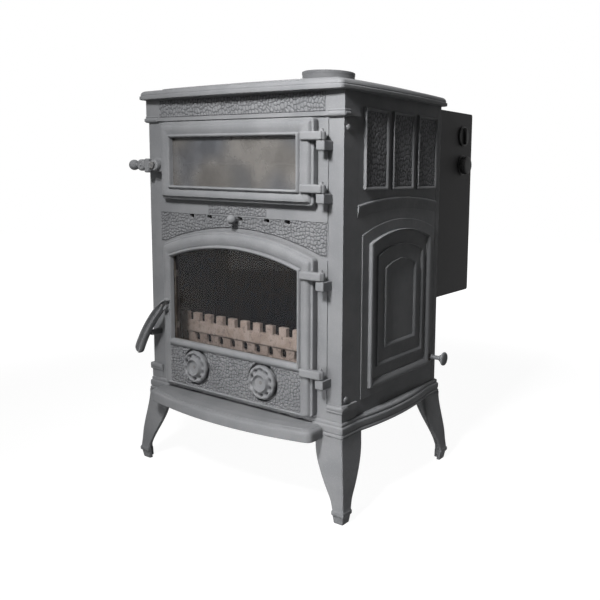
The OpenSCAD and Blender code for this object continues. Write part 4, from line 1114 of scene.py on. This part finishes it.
# %% Fire door
DOOR_R, WINDOW_R = 634.0, 598.0
FIRE_WINDOW_HALF = 186.0
SILL, SILL_H = 311.0, 16.0
BEAD_W = 7.5  # the lip round the window
FIRE_LUGS = (288.3, 485.3)
PANEL_FOOT_Z, PANEL_HALF = 208.0, 193.0
HANDLE_PIVOT = np.array((-202.0, 388.0))
FIRE_CUSHION = ((0, 0), (0, 11.4), (0.03, 13), (0.08, 13.6), (0.17, 13.8), (0.20, 14.8), (0.235, 17.4),
                (0.31, 19.6), (0.42, 21.0), (0.54, 21.4), (0.66, 21.2), (0.80, 20.4), (0.92, 19.2), (1, 17.8),
                (1, 12))
FIRE_BEAD = ((0, 12.3), (0, 17.6), (0.05, 19.4), (0.16, 21.6), (0.34, 23.6), (0.52, 24.4), (0.70, 24.2),
             (0.86, 23.0), (0.96, 21.0), (1, 19.0), (1, 12.3))
HANDLE_BOSS = ((15.4, 15), (15.2, 21.5), (14.4, 23.6), (12.6, 25.0), (10, 25.8), (4.4, 26.0))


def arched(half, foot, radius, corner):
    """An arch-headed outline in X and Z about the shared arch centre."""
    spring = ARCH_Z + np.sqrt(radius**2 - half**2)
    return rect(-half, foot, half, spring, corner, (0, 0, ARCH_Z + radius - spring, 0))


def fire_edge(inset):
    return arched(DOOR_HALF - inset, door_lo[2] + inset, DOOR_R - inset, max(7.0 - inset, 3.0))


def fire_hole(grow):
    return arched(FIRE_WINDOW_HALF + grow, SILL - grow, WINDOW_R + grow, 2.0 + 0.3 * grow)


def fire_cushion():
    """The border: rows from the outer edge to the panel's edge, then back through rebate and groove."""
    inner = arched(FIRE_WINDOW_HALF + 6.0, PANEL_FOOT_Z + 1.5, WINDOW_R + 6.5, 3.0)
    rows = between(fire_edge(0), inner, FIRE_CUSHION)
    return door_ring(rows + door_behind(fire_edge, fire_hole, ROPE_IN - 2))


def fire_bead():
    """The lip round the window, which widens into the half-round sill below it."""
    outer = arched(FIRE_WINDOW_HALF + BEAD_W, SILL - SILL_H, WINDOW_R + BEAD_W, 2.0)
    return moulding(outer, fire_hole(0), FIRE_BEAD, on_front, DOOR_BACK, -1.0)


boss = turned(HANDLE_BOSS, on_front(HANDLE_PIVOT, DOOR_BACK), AHEAD, 48)
parts = [fire_cushion(), fire_bead(), boss] + lug_parts(FIRE_LUGS)
piece("fire_door_casting", parts, ("fire_door_frame",), "fire_door")

# %% [markdown]
# Under the sill lies a pebbled panel that the two air dials are let into. A
# straight grid can't end on a circle, so each half of the panel is a polar grid
# about its dial, whose rays run from the dial's round seat to the panel's edge.

# %% Panel of the fire door
PANEL_FACE, PANEL_BACK = 17.4, 11.8  # forward of the door's back
PANEL_MIDDLE = -9.0
DIALS = ((-109.0, 257.0), (91.0, 257.0))
DIAL_SEAT_R, DIAL_GROOVE_R, DIAL_GROOVE = 33.0, 40.5, 5.0


def reach_to(near, far, centre, share):
    """How far a ray with that share along an axis goes to a wall at near or far."""
    safe = np.where(np.abs(share) < 1e-9, 1e-9, share)
    return np.where(share > 0, far - centre, near - centre) / safe


def panel_half(side):
    """Half of the pebbled panel as a ring round its dial's seat, from a circle out to a rectangle."""
    cx, cz = DIALS[0] if side < 0 else DIALS[1]
    x0, x1 = sorted((PANEL_MIDDLE, side * PANEL_HALF))
    z0, z1 = PANEL_FOOT_Z, SILL - SILL_H + 1.5
    corners = np.array(((x1, z0), (x1, z1), (x0, z1), (x0, z0)))
    turns = np.unwrap(np.arctan2(corners[:, 1] - cz, corners[:, 0] - cx))
    turns = np.append(turns, turns[0] + 2 * np.pi)
    angle = np.concatenate([np.linspace(turns[k], turns[k + 1], 110, endpoint=False) for k in range(4)])
    c, s = np.cos(angle), np.sin(angle)
    reach = np.minimum(reach_to(x0, x1, cx, c), reach_to(z0, z1, cz, s))
    radius = DIAL_SEAT_R + (reach - DIAL_SEAT_R) * np.linspace(0, 1, 64)[:, None]
    x, z = cx + radius * c, cz + radius * s
    height = PEBBLE_RISE * pebbles(x, z, 0.95, 11.0)
    groove = np.clip((DIAL_GROOVE_R + 1.5 - radius) / 1.5, 0, 1)
    height -= groove * (height + DIAL_GROOVE)
    flat = np.stack((x, z), -1)
    face, behind = on_front(flat, DOOR_BACK - PANEL_FACE), on_front(flat, DOOR_BACK - PANEL_BACK)
    face[..., 1] -= height
    # painted shade: groove_shade is 1 in the groove round the dial and on the seat's inner wall, and follows
    # the pebbles elsewhere
    groove_shade = np.clip(1 - height / PEBBLE_RISE, 0, 1)
    around = np.ones((1, len(c)))
    loops = np.concatenate((behind[:1], face, behind[-1:]))
    return ring(loops, np.concatenate((around, groove_shade, 0 * around)))


for side, hand in ((-1, "left"), (1, "right")):
    piece(f"fire_panel_{hand}", [panel_half(side)], body="fire_door")

# %% [markdown]
# The air dials turn to open the holes behind them. Each is a thick disc with a
# dished middle inside a raised rim, and a ring of round hollows between bosses.
# The front is one height formula of radius and angle on a polar grid.

# %% Air dials
dial_lo, dial_hi = box("air_dial_right")
DIAL_R = (dial_hi[0] - dial_lo[0]) / 2
DIAL_DISC, DIAL_LOBES = 6.6, 10
DISH_R, LOBE_R, HOLLOW_R = 18.4, 31.5, 27.0


def ridge(r, centre, width):
    """A smooth bump across a radius: cos^2 within its width, 0 beyond."""
    s = np.clip(np.abs(r - centre) / width, 0, 1)
    return np.cos(s * np.pi / 2) ** 2


def dial_part(cx, cz):
    """Height over the back = disc + rim + dished hub + lobes, with deep hollows between the lobes."""
    r = (np.linspace(0.4, 20, 15), np.linspace(20.8, DIAL_R - 1.2, 24), (DIAL_R - 0.4, DIAL_R))
    r = np.concatenate(r)[:, None]
    t = np.linspace(0, 2 * np.pi, 160, endpoint=False)
    lobes = 0.5 + 0.5 * np.cos(DIAL_LOBES * t)
    height = DIAL_DISC + 6.4 * ridge(r, DISH_R, 4.2) + 1.6 * np.where(r < DISH_R, (r / DISH_R) ** 2, 0)
    height = height + 3.4 * ridge(r, LOBE_R, 5.0) * (0.35 + 0.65 * lobes)
    height -= 6.4 * ridge(r, HOLLOW_R, 6.0) * (1 - lobes) ** 1.2
    height -= np.where(r > DIAL_R - 1.2, 1.6 * (r - DIAL_R + 1.2), 0)
    height = np.maximum(height, 0.8)
    scallop = 1 - 0.022 * (1 - lobes) * (r / DIAL_R) ** 6
    x, z = cx + r * scallop * np.cos(t), cz + r * scallop * np.sin(t)
    face = on_front(np.stack((x, z), -1), dial_hi[1])
    behind = face[-1:].copy()
    face[..., 1] -= height
    # painted shade: groove_shade darkens the pits between the lobes, more the deeper they are
    groove_shade = np.clip((6.2 - height) / 4.5, 0, 1) * (r < DIAL_R - 2)
    return loft(np.concatenate((face, behind)), np.concatenate((groove_shade, groove_shade[-1:])))


for hand, (cx, cz) in zip(("left", "right"), DIALS):
    piece(f"dial_casting_{hand}", [dial_part(cx, cz)], (f"air_dial_{hand}",), f"{hand}_dial")

# %% [markdown]
# The fire door's handle hangs down and outwards from its screw on the door's edge.
# It is a channelled grip: two ridges with a hollow between them, swept along a
# slightly bent path, pointed above the screw and rounded at its lower tip.

# %% Fire door handle
handle_lo, handle_hi = box("fire_handle")
HANDLE_TILT = np.radians(36.0)
HANDLE_LEN, HANDLE_HALF_W, HANDLE_BOW = 139.0, 12.0, 8.0
HANDLE_T = handle_hi[1] - handle_lo[1]
HALF_SECTION = np.array(((0.72, 0), (0.94, 0.12), (1, 0.34), (0.99, 0.62), (0.90, 0.86), (0.74, 0.98),
                         (0.56, 0.93), (0.42, 0.76), (0.28, 0.58), (0.1, 0.5)))
HANDLE_HUB = ((10.6, 0), (11.6, 1), (11.8, 3), (11.8, 6), (11, 7.4), (8, 8.2), (5, 8.4))


def handle_grip():
    """Section (across, forward) at each station of a path that bows by 4 B s (1 - s), s from -0.13."""
    s = np.concatenate((np.linspace(-0.13, 0.9, 30), 0.9 + 0.1 * np.sin(np.linspace(0.15, np.pi / 2, 9))))
    section = np.roll(np.concatenate((HALF_SECTION, (HALF_SECTION * (-1, 1))[::-1])), 1, axis=0)
    down = np.array((-np.sin(HANDLE_TILT), -np.cos(HANDLE_TILT)))
    across = np.array((down[1], -down[0]))
    reach = HANDLE_LEN + HANDLE_HALF_W - 0.4
    line = HANDLE_PIVOT + np.outer(s * reach, down) + np.outer(HANDLE_BOW * 4 * s * (1 - s), across)
    tip = np.clip((s * reach - HANDLE_LEN + 2) / (HANDLE_HALF_W + 1.4), 0, 0.985)
    point = np.clip((s + 0.145) / 0.24, 0, 1) ** 0.8
    width = (0.86 + 0.14 * s) * HANDLE_HALF_W * np.sqrt(1 - tip**2) * point
    xz = line[:, None, :] + width[:, None, None] * section[None, :, 0, None] * across
    depth = HANDLE_T * (0.5 + (section[None, :, 1] - 0.5) * np.sqrt(1 - 0.75 * tip[:, None] ** 2))
    return loft(np.stack((xz[..., 0], handle_hi[1] - depth, xz[..., 1]), -1))


screw_back = box("fire_handle_screw")[1][1]
shank = screw_back - handle_hi[1]
rows = ((3.4, 0), (3.4, shank + 8), (4.4, shank + 8.4), (4.2, shank + 9.6), (2.6, shank + 10.6))
screw = turned(rows, on_front(HANDLE_PIVOT, screw_back), AHEAD, 28)
hub = turned(HANDLE_HUB, on_front(HANDLE_PIVOT, handle_hi[1]), AHEAD, 48)
piece("handle_screw", [screw], ("fire_handle_screw",), "fire_door", BARE)
piece("handle_casting", [handle_grip(), hub], ("fire_handle",), "fire_door_handle")

# %% [markdown]
# The oven door's latch is a small lever: a ball to hold, a round boss, an upright
# bar that rides behind the keeper, and a hub round its screw.

# %% Oven latch
latch_lo, latch_hi = box("oven_latch_lever")
LATCH_X, LATCH_Z = -230.0, 705.0
LATCH_MID, LATCH_BACK = -216.2, latch_hi[1] - 6.2
BALL_X, BOSS_X = latch_lo[0] + 12, LATCH_X - 41
NECK = ((5.2, 6), (4.6, 10), (4.6, 18), (6.4, 24), (8.4, 30))
BOSS = ((11.8, 0), (12.8, 1), (13, 3), (13, 11.2), (12, 13.4), (9.4, 14.6), (6.6, 14.6), (5.2, 13.4),
        (3.6, 13.4), (2.8, 15.6), (1.2, 16.6))
LATCH_HUB = ((12, 0), (12.8, 1), (13, 3), (13, 9.2), (12, 11), (9.5, 11.9))

parts = [
    turned(ball(12.0), (BALL_X, LATCH_MID, LATCH_Z), (1, 0, 0), 36),
    turned(NECK, (BALL_X, LATCH_MID, LATCH_Z), (1, 0, 0), 28),
    turned(BOSS, (BOSS_X, LATCH_BACK, LATCH_Z), AHEAD, 44),
    block((BOSS_X, LATCH_BACK - 11, LATCH_Z - 8), (LATCH_X, LATCH_BACK - 0.8, LATCH_Z + 8), 3.4, 3),
    block((LATCH_X - 30, LATCH_BACK - 13, LATCH_Z - 16.8),
          (LATCH_X - 16, LATCH_BACK - 0.3, LATCH_Z + 14.8), 3.6, 3),
    turned(LATCH_HUB, (LATCH_X, LATCH_BACK, LATCH_Z), AHEAD, 44),
]
piece("latch_casting", parts, ("oven_latch_lever",), "oven_latch")

# %% [markdown]
# The air slider over the fire door is held by a small iron ball, and the shaker's
# rod ends in a round knob low on the right. Both are lathe work, so each is a
# profile turned about its own axis.

# %% Turned pieces
SHAKER_KNOB = ((5, 0), (8, 0.6), (8, 3.4), (6.4, 4.6), (8, 6), (13.6, 7.2), (15.6, 8.8), (16, 10.6),
               (15.2, 12.4), (12.6, 13.6), (8, 14), (1, 14))

(lo, hi), (x, _, z) = box("air_slider_knob"), middle("air_slider_knob")
slider_ball = turned(ball(10.0), (x, lo[1] + 10, z), AHEAD, 36)
slider_stem = turned(((3, 0), (3, 20), (4.4, 22), (5.6, 26)), (x, hi[1], z), AHEAD, 24)
piece("slider_ball", [slider_ball, slider_stem], ("air_slider_knob",), "air_control")

(lo, hi), (_, y, z) = box("shaker_rod"), middle("shaker_rod")
rod = turned(((4.2, 0), (5, 1), (5, hi[0] - lo[0] - 12)), (lo[0], y, z), (1, 0, 0), 32)
knob = turned(SHAKER_KNOB, (hi[0] - 14, y, z), (1, 0, 0), 48)
piece("shaker_knob", [rod, knob], ("shaker_rod",), "shaker")

# %% [markdown]
# Two moulded knobs on the right of the rear box set its fan. The thermostat's is
# a flat dial with a grip across it. The speed knob is a cap with fine flutes, and
# turning alone can't make those, so its radius also follows the angle.

# %% Control knobs
HOUSING_FACE = box("rear_housing")[1][0]
DIAL_SKIRT = ((22, 0.6), (24.6, 1), (25, 2), (25, 4), (24.2, 5), (20, 5.6), (1, 5.8))
SKIRT_H = 2.4
FLUTES, FLUTE_DEPTH = 24, 0.018


def fluted_cap(radius, depth, y, z):
    """A cap over a plain skirt: r = R (1 - 0.018 (1 + cos 24 t)) where a row is fluted in full."""
    t = np.linspace(0, 2 * np.pi, 144, endpoint=False)
    flutes = 1 - FLUTE_DEPTH * (1 + np.cos(FLUTES * t))
    rows = ((0.90, 0.6, 0), (0.98, 1.0, 0), (1.0, 1.8, 0), (1.0, SKIRT_H, 0), (0.93, SKIRT_H + 0.6, 0.3),
            (0.90, SKIRT_H + 1.2, 1), (0.88, depth * 0.8, 1), (0.84, depth * 0.93, 0.6),
            (0.74, depth - 0.3, 0), (0.5, depth, 0), (0.04, depth, 0))
    loops = []
    for share, out, fluting in rows:
        r = share * radius * (fluting * flutes + 1 - fluting)
        loops.append(np.column_stack((0 * t + HOUSING_FACE + out, y + r * np.cos(t), z + r * np.sin(t))))
    return loft(loops)


def knob_parts(node):
    """The thermostat's knob is a flat dial with a grip across it, the speed knob a fluted cap with a line."""
    (lo, hi), (_, y, z) = box(node), middle(node)
    radius, depth = (hi[1] - lo[1]) / 2, hi[0] - HOUSING_FACE
    shaft = turned(((3, 0), (3, HOUSING_FACE - lo[0] + 2)), (lo[0], y, z), (1, 0, 0), 24)
    if node == "thermostat_knob":
        dial = turned(DIAL_SKIRT, (HOUSING_FACE, y, z), (1, 0, 0), 64)
        reach = radius * 0.82
        grip = block((HOUSING_FACE + 3, y - 4.5, z - reach), (hi[0], y + 4.5, z + reach), 2.2, 3)
        return [dial, shaft, grip]
    line = block((hi[0] - 1.5, y - 0.9, z + 6), (hi[0], y + 0.9, z + radius * 0.7), 0.5, 2)
    return [fluted_cap(radius, depth, y, z), shaft, line]


for node, body in (("thermostat_knob", "thermostat"), ("speed_knob", "speed")):
    piece(f"{node}_moulding", knob_parts(node), (node,), body, PLASTIC)

# %% [markdown]
# The room is a plain pale floor and a white surround. The floor shows white to
# the camera and to glossy rays, but sends little light back, so the stove's own
# shading stays. The key lamp hangs in front of the right-hand post and lights a
# narrow cone, a broad fill stands in front and to the left, a small low lamp
# reaches the apron and legs, and the world adds a low even light.

# %% Floor, lamps and world
FLOOR_HALF = 6.0
FLOOR_SHARE, FLOOR_GLOW = 0.82, 1.16
AMBIENT = 0.035


def shown_rays(paint):
    """1 for camera, glossy and transmission rays, 0 for the rays that light the stove."""
    kinds = ("Is Camera Ray", "Is Glossy Ray", "Is Transmission Ray")
    rays = [paint.node("LightPath", out=kind) for kind in kinds]
    return paint.node("Math", {0: rays[0] + rays[1] + rays[2], 1: 1.0}, operation="MINIMUM")


def make_floor():
    """A square floor that glows for shown rays: more so from 1 to 2.4 m out, where it meets the sky."""
    half = FLOOR_HALF
    mesh = bpy.data.meshes.new("studio_floor")
    corners = [(-half, -half, 0), (half, -half, 0), (half, half, 0), (-half, half, 0)]
    mesh.from_pydata(corners, [], [(0, 1, 2, 3)])
    floor = bpy.data.objects.new("studio_floor", mesh)
    scene.collection.objects.link(floor)
    paint = Paint("studio_floor")
    seen = shown_rays(paint)
    bounce = paint.blend(seen, rgb(0.22, 0.22, 0.22), rgb(0.92, 0.92, 0.92))
    matt = paint.node("BsdfDiffuse", {"Color": bounce})
    glow = paint.node("Emission", {"Color": rgb(1, 1, 1), "Strength": FLOOR_GLOW})
    centre = paint.node("VectorMath", {0: paint.place()}, out="Value", operation="LENGTH")
    share = FLOOR_SHARE + paint.step(centre, 1.0, 2.4) * (1 - FLOOR_SHARE)
    surface = paint.node("MixShader", {0: seen * share, 1: matt, 2: glow})
    paint.node("OutputMaterial", {"Surface": surface})
    mesh.materials.append(paint.material)


def make_world():
    world = bpy.data.worlds.new("studio")
    world.use_nodes = True
    scene.world = world
    paint = Paint("studio", world.node_tree)
    strength = AMBIENT + shown_rays(paint) * (1 - AMBIENT)
    sky = paint.node("Background", {"Color": rgb(1, 1, 1), "Strength": strength})
    paint.node("OutputWorld", {"Surface": sky})


def make_lamp(name, place, target, size, power, spread=180.0):
    """A square lamp at a place, aimed at a target: metres, watts and degrees."""
    data = bpy.data.lights.new(name, "AREA")
    data.shape, data.size, data.energy = "SQUARE", size, power
    data.spread = np.radians(spread)
    lamp = bpy.data.objects.new(name, data)
    turn = (Vector(place) - Vector(target)).to_track_quat("Z", "Y").to_matrix().to_4x4()
    lamp.matrix_world = Matrix.Translation(place) @ turn
    scene.collection.objects.link(lamp)


make_floor()
make_world()
make_lamp("key", (0.33, -1.2, 1.45), (0.36, -0.2, 0.66), 0.26, 9.5, 95.0)
make_lamp("fill", (-1.2, -2.4, 0.9), (0.1, 0, 0.5), 1.6, 7.0)
make_lamp("low", (0.12, -1.5, 0.22), (0.22, -0.25, 0.06), 0.30, 0.8, 50.0)
print("studio ready")
